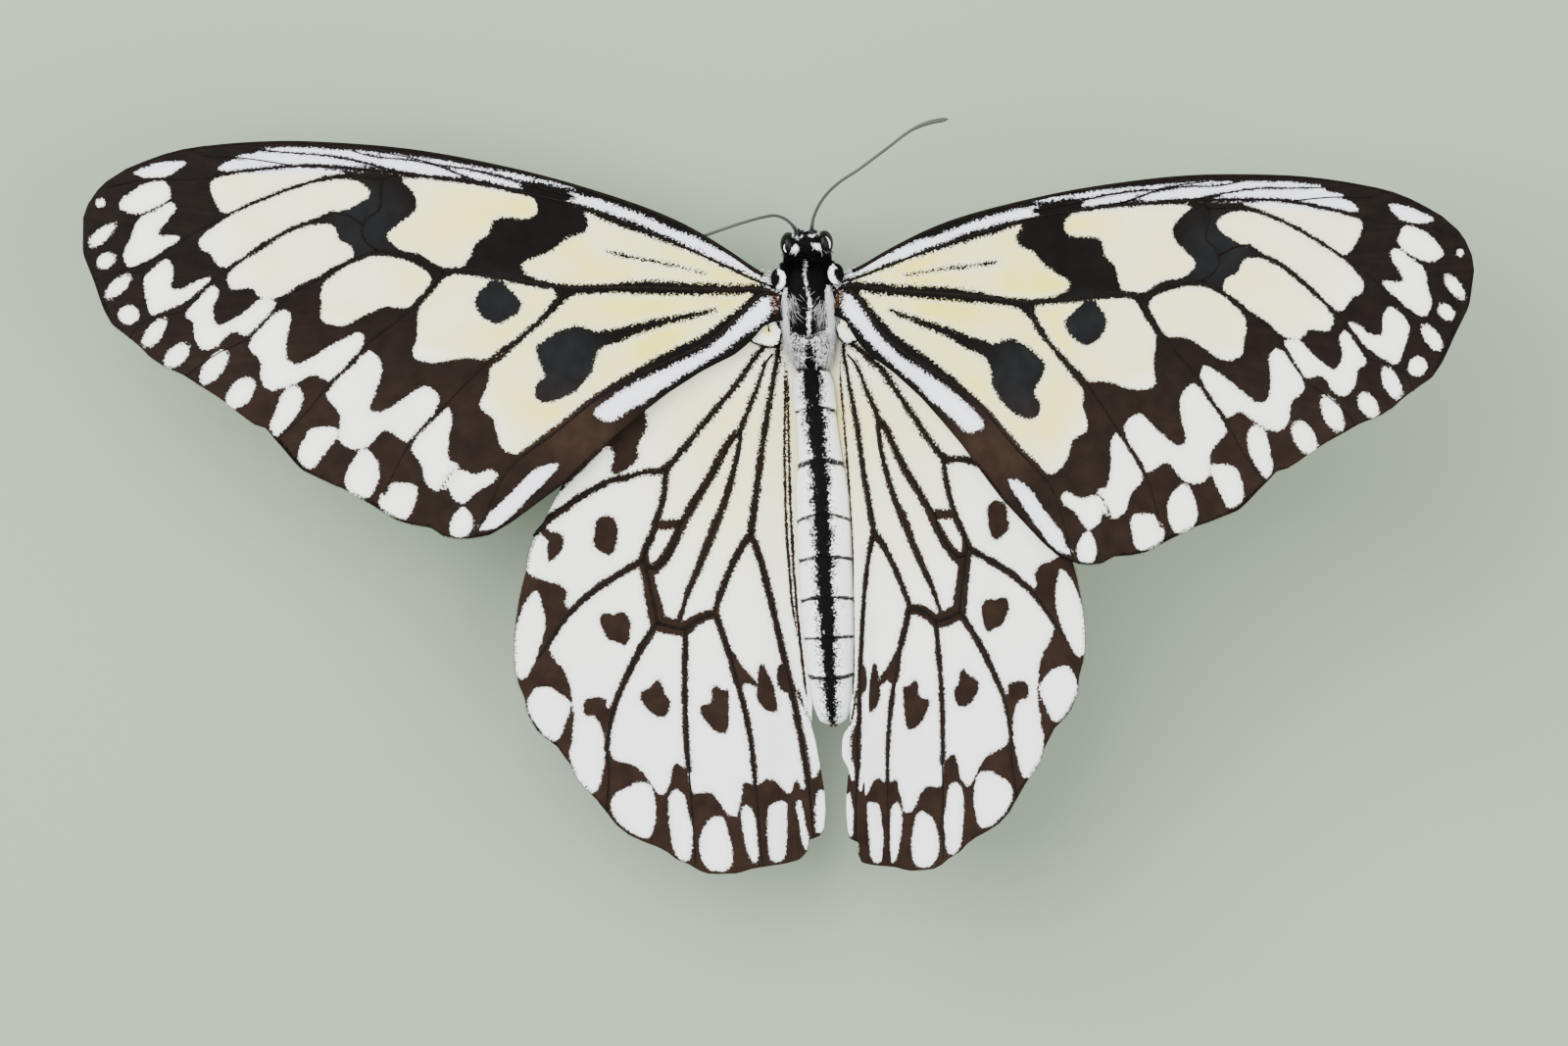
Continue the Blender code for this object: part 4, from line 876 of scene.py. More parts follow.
# Thin dark lines along the inner edge of the left (-1) and right (1) hindwing: width, then y and distance
# from the middle
BODY_LINES = {
    -1: ((0.26, ((-36, 1.80), (-32, 2.10), (-28, 2.32), (-24, 2.43), (-18, 2.43), (-13, 2.32), (-9, 2.2))),
         (0.26, ((-30, 2.45), (-27, 2.72), (-22, 2.86), (-19, 2.86), (-15, 2.75), (-11, 2.55), (-9, 2.4)))),
    1: ((0.24, ((-36, 2.30), (-32, 2.52), (-28, 2.68), (-24, 2.80), (-17, 2.80), (-12, 2.62), (-9, 2.5))),),
}
HINDWING_VEINS = (
    (0.4, 0.45, (-0.6, -4.9, 0.55, -5.9, 1.4, -6.96, 2.8, -8.96, 4.25, -10.8, 5.7, -12.4, 7.1, -14.15, 8.5,
        -15.8, 9.2, -16.3, 10.7, -16.4, 12.1, -16.8, 13.5, -17.1, 14.9, -17.8, 16.35, -18.6, 18.5, -20.1,
        20.2, -21.9)),
    (0.34, 0.4, (8.7, -16.1, 8.9, -16.9, 9, -18.5, 9.45, -19.9, 9.7, -21, 10, -21.8, 10.5, -22.9, 10.7,
        -23.7)),
    (0.3, 0.45, (-0.5, -6.2, 0.13, -6.96, 0.4, -7.7, 1.1, -9.67, 1.55, -10.95, 2.1, -12.1, 2.4, -12.9, 3.1,
        -13.5, 3.97, -15.1, 4.97, -16.8, 5.96, -18.35, 6.8, -19.8, 7.7, -20.9, 7.9, -22, 8.6, -23.4, 9.2,
        -24.2, 9.8, -24.65, 10.6, -24.3)),
    (0.45, 0.24, (2.3, -12.9, 2.5, -14.9, 2.97, -16.4, 3.4, -17.8, 3.8, -19.2, 4.4, -20.6, 5.2, -22.6, 5.8,
        -24.2, 6.4, -25.7, 6.9, -26.8, 7.3, -28.1, 7.66, -29.2)),
    (0.4, 0.45, (-0.95, -5.2, -0.97, -6.25, -0.7, -7.25, -0.44, -9.2, 0, -11.2, 0.27, -13.2, 0.55, -15.2,
        0.84, -17.2, 1.1, -19.2, 1.34, -20.6, 1.43, -21.7)),
    (0.38, 0.3, (1.43, -21.7, 2.5, -23.25, 3.3, -25, 3.9, -26.4, 4.4, -27.6, 4.55, -28.5)),
    (0.35, 0.22, (1.43, -21.7, 1.1, -22.4, 0.65, -23.7, 0.19, -25.4, -0.28, -27.1, -0.75, -28.9, -1.1, -30.6,
        -1.5, -32.3, -1.84, -33.7, -2.2, -35.4, -2.5, -36.9, -2.85, -38.5, -3.1, -40, -3.3, -41.4, -3.55,
        -42.7, -4.1, -48)),
    (0.4, 0.4, (10.7, -23.7, 10.6, -24.3, 10.3, -25.6, 10, -27, 9.7, -28.2, 9.5, -29.3, 8.6, -29.6, 7.5,
        -29.86, 7, -29.8, 6.3, -29.2, 5.5, -28.8, 4.6, -28.6)),
    (0.4, 0.3, (10.7, -23.9, 12.2, -24.8, 13.7, -25.7, 15.3, -26.8, 16.5, -27.9, 17.3, -28.7, 18.1, -29.8,
        18.9, -31, 19.7, -32.3)),
    (0.36, 0.24, (9.5, -29.3, 10.6, -30.7, 11.2, -31.97, 12, -33.5, 12.6, -34.9, 13.1, -36.2, 13.5, -37.3,
        13.7, -38.7, 13.9, -40.2, 13.7, -41.8, 13.9, -45.6)),
    (0.32, 0.2, (7.1, -29.9, 7.1, -32.9, 7.16, -35.1, 7, -37.6, 6.96, -40.5, 6.8, -42, 6.2, -50.2)),
    (0.36, 0.2, (4.4, -28.7, 4.2, -29.3, 3.8, -30.6, 3.3, -31.8, 3, -32.9, 2.7, -34.2, 2.2, -35.9, 1.9, -37.4,
        1.5, -39.1, 1.4, -40.2, 1.2, -41.75, 1.04, -43.15, 0.4, -50.2)),
)


def rows(values: tuple[float, ...]) -> Array:
    """Turns a run of numbers into rows of two."""
    return np.asarray(values, float).reshape(-1, 2)


class WingKind(Enum):
    """Which pair of wings."""

    FORE = "forewing"
    HIND = "hindwing"


@dataclass(frozen=True)
class WingPose:
    """How a flat wing is set beside the thorax: bent, turned about its root, then moved and mirrored."""

    kind: WingKind
    side: int                          # -1 is left, 1 is right
    root: Point
    dihedral: float                    # degrees that the tip is raised
    sweep: float                       # degrees towards the head
    twist: float                       # degrees that the front edge is raised
    bend: float                        # how the span curves upward
    stretch: float
    draw: float = 0.0                  # how far the veins near the root lie out and forward of the plan
    pleat: float = 0.0                 # how far pleats carry the hind inner corner outward
    lobe: float = 0.0                  # how far a small lobe of the inner edge stands inward
    fold_start: float = 1.8            # a hindwing's inner edge turns down from here
    fold_width: float = 4.5            # over this width
    fold_drop: float = 1.1             # by this drop

    def gathered(self, u: Array, v: Array) -> Array:
        """How far pleats beside the vein to -4.1, -48 carry a hindwing's hind inner corner outward."""
        beside = u + 4.1 - 0.19 * (v + 48)
        start = 2.0 if self.pleat > 0 else 0.0
        shift = self.pleat * smoothstep(start, start - 2, beside) * smoothstep(-26, -43, v)
        return shift - self.lobe * smoothstep(-0.2, -1.2, beside) * bell(v, -39.7, 1.6, 4)

    def drawn_out(self, flat: Array) -> Array:
        """How far veins near a hindwing's root lie out and forward: by e^(-d/3.5) for d behind v = -8."""
        u, v = flat.T
        out = (0.28 + 0.30 * np.maximum(u, 0)) * np.exp(-np.maximum(-v - 8, 0) / 3.5)
        return self.draw * np.stack([out, 0.7 * bell(v, -11.8, 3.5) * bell(u, 2.2, 3)], 1)

    def place(self, flat: Array, height: Array | float = 0.0) -> Array:
        """Carries flat points into the insect's frame.

        The span is bent to z = height + bend u² / 60, the inner edge of a hindwing falls by a smooth step
        towards the body, and the wing is turned by twist about X, sweep about Z and dihedral about Y.

        Args:
            flat: rows of u and v.
            height: how far each point lies above the wing's middle.

        Returns:
            Rows of three coordinates.
        """
        u, v = flat.T
        u = u + self.gathered(u, v)
        x = u * self.stretch - (self.bend / 30) ** 2 * u ** 3 / 6
        z = height + self.bend * u ** 2 / 60
        if self.kind is WingKind.HIND:
            z = z - self.fold_drop * smoothstep(self.fold_start, self.fold_start - self.fold_width, u)
        a, b, c = (math.radians(r) for r in (self.twist, self.sweep, -self.dihedral))
        about_x = np.array([[1, 0, 0], [0, math.cos(a), -math.sin(a)], [0, math.sin(a), math.cos(a)]])
        about_z = np.array([[math.cos(b), -math.sin(b), 0], [math.sin(b), math.cos(b), 0], [0, 0, 1]])
        about_y = np.array([[math.cos(c), 0, math.sin(c)], [0, 1, 0], [-math.sin(c), 0, math.cos(c)]])
        placed = np.stack([x, v, z], 1) @ (about_y @ about_z @ about_x).T + np.array(self.root)
        return placed * np.array([self.side, 1, 1])


@dataclass
class WingPlan:
    """A flat wing: its grid, the values that colour the scales at each point, its veins and its edge.

    The value ink is the distance in millimetres into the nearest white area, negative in the dark.
    """

    grid: Array
    values: dict[str, Array]
    routes: tuple
    edge: Array

    def __post_init__(self) -> None:
        """Adds the direction and distance of each point from the root, which dark streaks follow."""
        u, v = self.grid[..., 0], self.grid[..., 1]
        self.values = {k: x.reshape(u.shape) for k, x in self.values.items()}
        self.values |= {"ray": np.arctan2(v, u + 3), "reach": np.hypot(u, v)}

    @staticmethod
    def ink_of(points: Array, windows: dict, spots: tuple, islands: dict, strokes: tuple) -> Array:
        """Distance into the white: the greatest over windows and spots, cut by islands and dark strokes.

        Args:
            points: rows of u and v.
            windows: outlines of the white areas.
            spots: centre, half length, half width and direction of white ovals.
            islands: outlines of dark areas.
            strokes: widths and routes of dark lines.

        Returns:
            One distance for each point.
        """
        ink = np.full(len(points), -3.0)
        for outline in windows.values():
            ink = WingPlan.with_outline(ink, points, outline, 1)
        for u, v, length, width, du, dv in spots:
            tilt = math.degrees(math.atan2(dv, du))
            ink = np.maximum(ink, oval(*points.T, (u, v), (length, width), tilt))
        for outline in islands.values():
            ink = WingPlan.with_outline(ink, points, outline, -1)
        for start, end, route in strokes:
            line = smooth_path(rows(route), 4)
            ink = np.minimum(ink, segment_distance(points, line, np.linspace(start, end, len(line)) / 2))
        return ink

    @staticmethod
    def with_outline(ink: Array, points: Array, outline: tuple, sign: int) -> Array:
        """Joins one outline to the ink, working only on the points within 3 mm of it.

        Args:
            ink: the distances so far.
            points: rows of u and v.
            outline: a run of u and v.
            sign: 1 for a white area, -1 for a dark one.

        Returns:
            The new distances.
        """
        edge = smooth_path(rows(outline), 4, True)
        close = np.all((points > edge.min(0) - 3) & (points < edge.max(0) + 3), axis=1)
        gap = sign * patch_distance(points[close], edge)
        ink = ink.copy()
        ink[close] = (np.maximum if sign > 0 else np.minimum)(ink[close], gap)
        return ink


@dataclass
class Wing:
    """One wing: a scaled membrane with a closed rim, veins on both faces, and a fringe along its edge."""

    name: str
    pose: WingPose
    plan: WingPlan
    thickness: float = 0.16
    vein_rise: float = 0.14
    vein_step: float = 0.5
    vein_sides: int = 8
    fringe_gap: float = 0.085

    def membrane(self) -> Shape:
        """Closed sheet: the flat grid raised and lowered by half its thickness, each row of it one ring.

        Half the thickness follows h = t/2 sqrt(1 - e⁶), where e runs from -1 to 1 between the grid's edges.
        """
        count, across = self.plan.grid.shape[:2]
        half = self.thickness / 2 * np.sqrt(np.maximum(1 - np.linspace(-1, 1, across) ** 6, 0.02))
        both = {k: np.concatenate([v, v[:, ::-1]], axis=1) for k, v in self.plan.values.items()}
        flat = np.concatenate([self.plan.grid, self.plan.grid[:, ::-1]], axis=1).reshape(-1, 2)
        height = np.tile(np.concatenate([half, -half[::-1]]), count)
        j = np.arange(across - 1)
        cap = np.stack([j, 2 * across - 1 - j, 2 * across - 2 - j, j + 1], -1)
        faces = [tiles(count, 2 * across), cap[:, ::-1], cap + (count - 1) * 2 * across]
        return Shape(self.pose.place(flat, height + self.relief(flat)), faces,
                     {k: v.ravel() for k, v in both.items()}).outward()

    def relief(self, flat: Array) -> Array:
        """Shallow swell of the membrane: two crossing waves of a few hundredths of a millimetre."""
        u, v = flat.T
        return 0.035 * np.sin(u / 1.9 + v / 3.1) + 0.03 * np.sin(v / 1.4 - u / 4.0 + 1.0)

    def veins(self) -> Shape:
        """Tubes along the veins, flattened, standing out of both faces."""
        made = []
        for start, end, route in self.plan.routes:
            line = smooth_path(rows(route), 6)
            run = run_of(line)
            plan = points_at(np.linspace(0, run[-1], max(int(run[-1] / self.vein_step), 4) + 1), run, line)
            flat = plan
            for _ in range(12):
                flat = plan + self.pose.drawn_out(flat)
            path = self.pose.place(flat, self.relief(flat))
            up = self.pose.place(flat, self.relief(flat) + 1.0) - path
            radii = np.linspace(start, end, len(path)) * 0.4
            squash = (self.thickness / 2 + self.vein_rise) / radii[0]
            radii[-1] *= 0.6
            made.append(tube(path, radii, self.vein_sides, up, squash))
        return Shape.joined(made)

    def fringe(self, coat: "Coat") -> Shape:
        """Fine dark scales along the outer edge, in the wing's plane.

        Args:
            coat: maker of the scales.

        Returns:
            The fringe.
        """
        rng = coat.rng
        edge = smooth_path(self.plan.edge, 6)
        run = run_of(edge)
        count = int(run[-1] / self.fringe_gap)
        at = np.linspace(0, run[-1], count) + rng.uniform(-0.05, 0.05, count)
        line = points_at(at, run, edge)
        along = np.gradient(line, axis=0)
        out = unit(np.stack([along[:, 1], -along[:, 0]], 1))
        middle = self.plan.grid.reshape(-1, 2).mean(0)
        out *= np.sign(((line - middle) * out).sum(1))[:, None]
        reach = rng.uniform(0.30, 0.42, count)
        line = line - 0.06 * out
        height = rng.uniform(-0.03, 0.03, count)
        start = self.pose.place(line - out * (reach + 0.03)[:, None], height)
        lean = self.pose.place(line, height) - start
        lean = lean + 0.12 * np.linalg.norm(lean, axis=1, keepdims=True) * rng.normal(size=(count, 3))
        bake = np.stack([0.02 + 0.96 * at / run[-1], np.full(count, 0.5)], 1)
        return coat.blades(start, lean, lean, reach, 0.045, bake)

    def build(self, bench: Workbench, coat: "Coat") -> None:
        """Makes and dresses the wing.

        Args:
            bench: where finished shapes go.
            coat: maker of the fringe.
        """
        bench.place(f"{self.name}_fringe", self.fringe(coat), "hair", "wing")
        bench.place(f"{self.name}_membrane", self.membrane(), "wing", "wing", (self.name,))
        bench.place(f"{self.name}_veins", self.veins(), "vein", "wing")


def forewing_plan(columns: int = 290, across: int = 140) -> WingPlan:
    """Flat forewing: for each u a line of points from the hind edge to the front edge.

    Args:
        columns: lines along the span, closer together towards the tip.
        across: points of each line.

    Returns:
        The plan.
    """
    front, back = rows(FOREWING_FRONT), rows(FOREWING_BACK)
    t = np.linspace(0, 1, columns)
    u = -1.9 + 60.9 * (t + 0.12 * np.sin(math.pi * t) * t)
    top = np.interp(u, *front.T) - 0.05
    low = np.minimum(np.interp(u, *back.T) + EDGE_INSET * smoothstep(2, 6, u), top - 0.1)
    v = low[:, None] + (top - low)[:, None] * np.linspace(0, 1, across)[None]
    grid = np.stack([np.broadcast_to(u[:, None], v.shape), v], -1)
    flat = grid.reshape(-1, 2)
    u, v = flat.T
    beyond = u - np.interp(v, *rows(CREAM_END).T)
    strip = np.maximum(np.interp(u, *rows(HIND_VEIN).T) - v, v - np.interp(u, *rows(CELL_FRONT).T))
    rust = 0.5 * np.exp(-(np.hypot(u - 16.5, (v + 13) * 1.2) / 5.5) ** 2)
    rust = np.maximum(rust, 0.2 * smoothstep(2.0, -12.0, v) * smoothstep(14, 24, u))
    rust = np.maximum(rust, smoothstep(1.0, 0.5, np.hypot((u + 0.75) / 0.45, (v + 1.85) / 0.85)))
    # painted reflection: where the black scales get a bluish tone painted on
    blue = sum(bell(np.hypot(u - a, v - b), 0, r, 4) for a, b, r in FOREWING_PAINTED_REFLECTION)
    values = {
        "ink": WingPlan.ink_of(flat, FOREWING_WINDOWS, FOREWING_SPOTS, FOREWING_ISLANDS, FOREWING_STROKES),
        "cream": (0.98 - 0.46 * smoothstep(8, 40, np.hypot(u, v))) * (1 - smoothstep(-6.0, 1.5, beyond)),
        "lilac": smoothstep(-0.3, 0.3, strip), "rust": rust, "blue": 0.7 * np.clip(blue, 0, 1)}
    return WingPlan(grid, values, FOREWING_VEINS, np.vstack([back[5:], front[:-4:-1]]))


def body_edge(y: Array, side: int) -> Array:
    """How far the body's side lies from the middle at y, read between its sections."""
    table = np.array(sorted(r[:2] for r in ABDOMEN + THORAX))
    return np.interp(y, *table.T) + side * ABDOMEN_LIE * smoothstep(-5.5, -17.0, y)


def hindwing_plan(pose: WingPose, lines: int = 290, across: int = 130, inner_strip: int = 14) -> WingPlan:
    """Flat hindwing: for each v a line of points from the body's side to the outer edge.

    The inner end of each line is where the placed wing meets the abdomen, found by stepping u by the gap.

    Args:
        pose: the wing's pose, which settles where it meets the abdomen.
        lines: lines from the front to the hind edge, closer together at both ends.
        across: points of each line.
        inner_strip: how many of these lie close together along the inner edge.

    Returns:
        The plan.
    """
    outer, inner = rows(HINDWING_OUTER), rows(HINDWING_INNER)
    t = np.linspace(0, 1, lines)
    v = -3.4 - 47.55 * (t - 0.20 * np.sin(math.tau * t) / math.tau)
    out = np.interp(-v, -outer[:, 1], outer[:, 0]) - EDGE_INSET * smoothstep(3.6, 12, -v)
    inn = np.interp(v, inner[:, 1], inner[:, 0]) + EDGE_INSET
    out = np.maximum(out, inn + 0.1)
    u = np.full(lines, -2.0)
    for _ in range(12):
        x, y, _ = pose.place(np.stack([u, v], 1)).T
        u = u + body_edge(y, pose.side) + 0.04 - x * pose.side
    left = inn + (np.minimum(u, out - 0.5) - inn) * smoothstep(-38.5, -35.5, v)
    step = np.linspace(0, 1, inner_strip, endpoint=False)[None]
    close = np.minimum(1.3, 0.3 * (out - left))[:, None] * step
    step = np.linspace(0, 1, across - inner_strip + 1)[None, 1:]
    far = close[:, -1:] + (out - left - close[:, -1])[:, None] * step
    grid = left[:, None] + np.concatenate([close, far], 1)
    grid = np.stack([grid, np.broadcast_to(v[:, None], grid.shape)], -1)
    flat = grid.reshape(-1, 2)
    windows = {k: w for k, w in HINDWING_WINDOWS.items() if k != "edge_ninth" or pose.side < 0}
    ink = WingPlan.ink_of(flat - pose.drawn_out(flat), windows, (), HINDWING_ISLANDS, HINDWING_STROKES)
    x, y, _ = pose.place(flat).T
    for width, route in BODY_LINES[pose.side]:
        at, beside = np.array(route).T
        run = smoothstep(-6.5, -9.0, y) * smoothstep(at[0] - 0.5, at[0] + 2, y)
        gap = np.abs(x * pose.side - np.interp(y, at, beside))
        ink = np.minimum(ink, 2.2 * (gap - width / 2 * run) + 0.8 * (run == 0))
    u, v = flat.T
    cream = (1 - smoothstep(8, 34, -v)) * (1 - smoothstep(2, 16, u)) * (0.25 + 0.60 * smoothstep(6, 13, -v))
    values = {"ink": ink, "cream": cream, "lilac": 0.5 * smoothstep(20, 44, -v),
              "rust": np.full(len(u), 0.28), "blue": np.zeros(len(u))}
    return WingPlan(grid, values, HINDWING_VEINS, np.vstack([outer[4:], inner[1:-6]]))


# The body: half width, half height and height of the axis along y

THORAX = (
    (-7.0, 1.45, 1.60, 9.15), (-6.1, 1.90, 2.05, 9.25), (-4.6, 2.22, 2.40, 9.35), (-2.8, 2.36, 2.50, 9.45),
    (-1.0, 2.32, 2.45, 9.45), (0.5, 2.22, 2.15, 9.35), (1.45, 2.05, 1.70, 9.25), (1.95, 1.90, 1.45, 9.20))
ABDOMEN = (
    (-37.65, 1.13, 8.68), (-37.15, 1.37, 8.69), (-36.4, 1.60, 8.70), (-35.6, 1.74, 8.71), (-34.2, 1.86, 8.73),
    (-33.8, 1.96, 8.74), (-32.0, 2.06, 8.80), (-30.0, 2.20, 8.85), (-27.0, 2.28, 8.91), (-23.0, 2.29, 9.00),
    (-18.5, 2.30, 9.07), (-16.2, 2.06, 9.10), (-15.2, 1.92, 9.10), (-13.0, 1.74, 9.12), (-11.3, 1.70, 9.14),
    (-10.5, 1.84, 9.15), (-8.5, 1.74, 9.15), (-7.3, 1.36, 9.15))
HEAD_CENTRE = (0.12, 3.45, 9.35)
HEAD_HALF = (1.90, 1.26, 1.62)
NECK = (1.95, 1.45)
NECK_Y = 1.9                           # where the rings of the head end
WAIST_Y = -7.15                        # where thorax and abdomen meet
TAIL_Y = -38.06
ABDOMEN_LIE = 0.42                     # how far the abdomen hangs to the right
# Rings of the abdomen: y, how far the middle of the ring lies forward, and how broad its dark line is
RINGS = (
    (-7.3, 0.10, 1.5), (-10.8, 0.45, 0.8), (-15.4, 0.50, 1.6), (-20.1, 0.60, 1.0), (-23.65, 0.30, 1.0),
    (-27.1, 0.30, 1.0), (-30.5, 0.0, 0.9), (-33.9, -0.25, 1.2))
# Half width of the dark stripe along the back: y and half width
STRIPE = (
    (-7.3, 0.74), (-13.0, 0.66), (-22.0, 0.66), (-30.0, 0.57), (-34.0, 0.48), (-36.5, 0.40), (-37.7, 0.28))
# White lines of the thorax: x and y of their points, and half width at each
MIDDLE_LINE_FRONT = (
    ((0.0, 2.0), (-0.04, 0.95), (0.02, 0.2), (0.14, -0.6), (0.28, -1.3), (0.34, -1.95)),
    (0.04, 0.06, 0.07, 0.08, 0.08, 0.12))
MIDDLE_LINE_REAR = (((0.24, -2.5), (0.14, -3.2), (0.11, -4.35)), (0.22, 0.12, 0.06))
SIDE_LINE = (((1.85, -0.4), (2.0, -2.4), (1.85, -4.9)), (0.20, 0.32, 0.25))
FLANK_SPOTS = ((1.0, 8.7), (-1.2, 8.3), (-3.4, 8.5), (-5.2, 8.8), (-2.4, 7.6), (-4.6, 7.7))      # y and z
WAIST_DARK = (-7.15, 0.72, -6.5, 0.60, -5.6, 0.42, -4.9, 0.30, -4.4, 0.9, -4.1, 1.5)    # y and half width
# White spots on the crown: place, half sizes, and how far the first of these turns towards the front
HEAD_SPOTS = (
    ((-0.95, 3.08), (0.38, 0.30), 35), ((1.03, 3.17), (0.44, 0.24), -22), ((-1.12, 4.25), (0.13, 0.18), 0),
    ((-0.75, 4.00), (0.22, 0.16), 0), ((-0.31, 4.10), (0.11, 0.11), 0), ((0.57, 4.14), (0.29, 0.15), 8),
    ((1.12, 4.35), (0.12, 0.18), 0), ((-0.02, 4.62), (0.20, 0.08), 0))
EYE_CENTRE = (1.55, 3.50, 9.45)        # x is from the middle of the head
EYE_HALF = (0.75, 1.08, 1.22)


def table_at(table: tuple, y: Array) -> list[Array]:
    """Columns of a table of sections, read between its rows at y."""
    made = np.array(sorted(table))
    return [np.interp(y, made[:, 0], column) for column in made.T[1:]]


def oval(x: Array, y: Array, centre: Point, half: Point, tilt: float = 0.0) -> Array:
    """Distance into a tilted oval, nearly: (1 - r) times its smaller half, where r is the scaled radius.

    Args:
        x: first coordinates.
        y: second coordinates.
        centre: the oval's middle.
        half: its two half sizes.
        tilt: degrees that the first of these is turned by.

    Returns:
        One distance for each place, positive inside.
    """
    c, s = math.cos(math.radians(tilt)), math.sin(math.radians(tilt))
    a, b = x - centre[0], y - centre[1]
    return (1 - np.hypot((a * c + b * s) / half[0], (b * c - a * s) / half[1])) * min(half)


@dataclass
class Skin:
    """One skin over head, thorax and abdomen: a ring of points at each y, closed at both ends.

    The ring is x = a cos t, z = b sin t about the axis. The half width a is the smooth greatest of head,
    neck, thorax and abdomen, (sum of a⁸)^(1/8), and each tergite swells and laps over the next one.
    """

    sides: int = 160
    head_rings: int = 80
    thorax_rings: int = 110
    abdomen_rings: int = 250

    def __post_init__(self) -> None:
        """Works out the rings, the markings and the unwrap."""
        nose = HEAD_CENTRE[1] + HEAD_HALF[1]
        t = np.linspace(0, 1, self.head_rings, endpoint=False)
        head = nose - 0.001 - (nose - NECK_Y) * (1 - np.cos(t * math.pi / 2))
        even = np.linspace(head[0], NECK_Y, self.head_rings, endpoint=False)
        chest = np.linspace(NECK_Y, RINGS[0][0], self.thorax_rings, endpoint=False)
        rear = RINGS[0][0] - 30.75 * np.sin(np.linspace(0, 1, self.abdomen_rings) * math.pi / 2) ** 0.85
        self.y = np.concatenate([(even + head) / 2, chest, rear])
        self.angle = np.arange(self.sides) * math.tau / self.sides
        width, height, axis, shift = self.profile(self.y)
        cos, sin = np.cos(self.angle)[None], np.sin(self.angle)[None]
        y = np.broadcast_to(self.y[:, None], (len(self.y), self.sides)).copy()
        swell = self.tergites(y, sin) + self.thorax_form(y, cos, sin)
        x = shift[:, None] + (width[:, None] + swell) * cos
        z = axis[:, None] + (height[:, None] + swell) * sin
        self.points = np.stack([x, y, z], -1)
        self.ink, self.grey, self.seam = self.markings(x - shift[:, None], y, z, sin)
        across = np.roll(self.points, -1, 1) - np.roll(self.points, 1, 1)
        normal = np.cross(np.gradient(self.points, axis=0), across)
        self.normals = unit(normal)
        middle = np.stack([shift, self.y, axis], 1)[:, None]
        self.normals[(self.normals * (self.points - middle)).sum(-1) < 0] *= -1
        self.area = np.linalg.norm(normal, axis=2)
        u = 0.02 + 0.96 * np.arange(self.sides) / self.sides
        v = 0.02 + 0.96 * (self.y - self.y.min()) / np.ptp(self.y)
        self.unwrap = np.stack(np.broadcast_arrays(u[None, :], v[:, None]), -1)

    def profile(self, y: Array) -> tuple[Array, Array, Array, Array]:
        """The body's sections.

        Args:
            y: distance ahead of the thorax's middle.

        Returns:
            Half width, half height, height of the axis and sideways shift at y.
        """
        dome = np.sqrt(np.clip(1 - ((y - HEAD_CENTRE[1]) / HEAD_HALF[1]) ** 2, 0, 1))
        neck = smoothstep(3.6, 2.7, y) * smoothstep(-0.5, 1.0, y)
        tw, th, tz = table_at(THORAX, y)
        chest = smoothstep(2.12, NECK_Y, y) * (y > WAIST_Y)
        ar, az = table_at(ABDOMEN, y)
        belly = (y <= WAIST_Y) * np.sqrt(np.clip((y - TAIL_Y) / 0.45, 0, 1))
        halves = [(HEAD_HALF[0] * dome, HEAD_HALF[2] * dome), (NECK[0] * neck, NECK[1] * neck),
                  (tw * chest, th * chest), (ar * belly, ar * belly)]
        width, height = (sum(h[k] ** 8 for h in halves) ** 0.125 for k in (0, 1))
        pinch = 1 - 0.10 * bell(y, WAIST_Y, 0.22)
        axis = np.where(y > 1.95, HEAD_CENTRE[2] + (9.20 - HEAD_CENTRE[2]) * smoothstep(2.9, 2.0, y),
                        np.where(y > WAIST_Y, tz, az))
        shift = ABDOMEN_LIE * smoothstep(-5.5, -17.0, y) + HEAD_CENTRE[0] * smoothstep(1.3, 2.7, y)
        return width * pinch, height * pinch, axis, shift

    def ring_place(self, y: Array, sin: Array) -> tuple[Array, Array, Array]:
        """Where places of the abdomen lie between its rings.

        Args:
            y: distance ahead of the thorax's middle.
            sin: 1 along the back, -1 along the belly.

        Returns:
            Distance behind the last ring, ahead of the next, and from the nearest over its breadth.
        """
        behind, ahead, seam = (np.full(y.shape, FAR_OFF) for _ in range(3))
        for ring, bow, breadth in RINGS:
            line = ring + bow * (np.clip(sin, 0, 1) ** 2 - 0.6)
            behind = np.where(y <= line, np.minimum(behind, line - y), behind)
            ahead = np.where(y > line, np.minimum(ahead, y - line), ahead)
            seam = np.minimum(seam, np.abs(y - line) / breadth)
        return behind, ahead, seam

    def tergites(self, y: Array, sin: Array) -> Array:
        """Each tergite rises by 0.07 mm to its hind edge, then the next one starts 0.09 mm lower."""
        behind, ahead, _ = self.ring_place(y, sin)
        on = smoothstep(-7.4, -8.4, y) * smoothstep(-38.0, -36.4, y)
        lap = 0.07 * np.exp(-ahead / 0.5) - 0.10 * np.exp(-behind / 0.22)
        return on * (lap + 0.03 * np.sin(behind * 1.1))

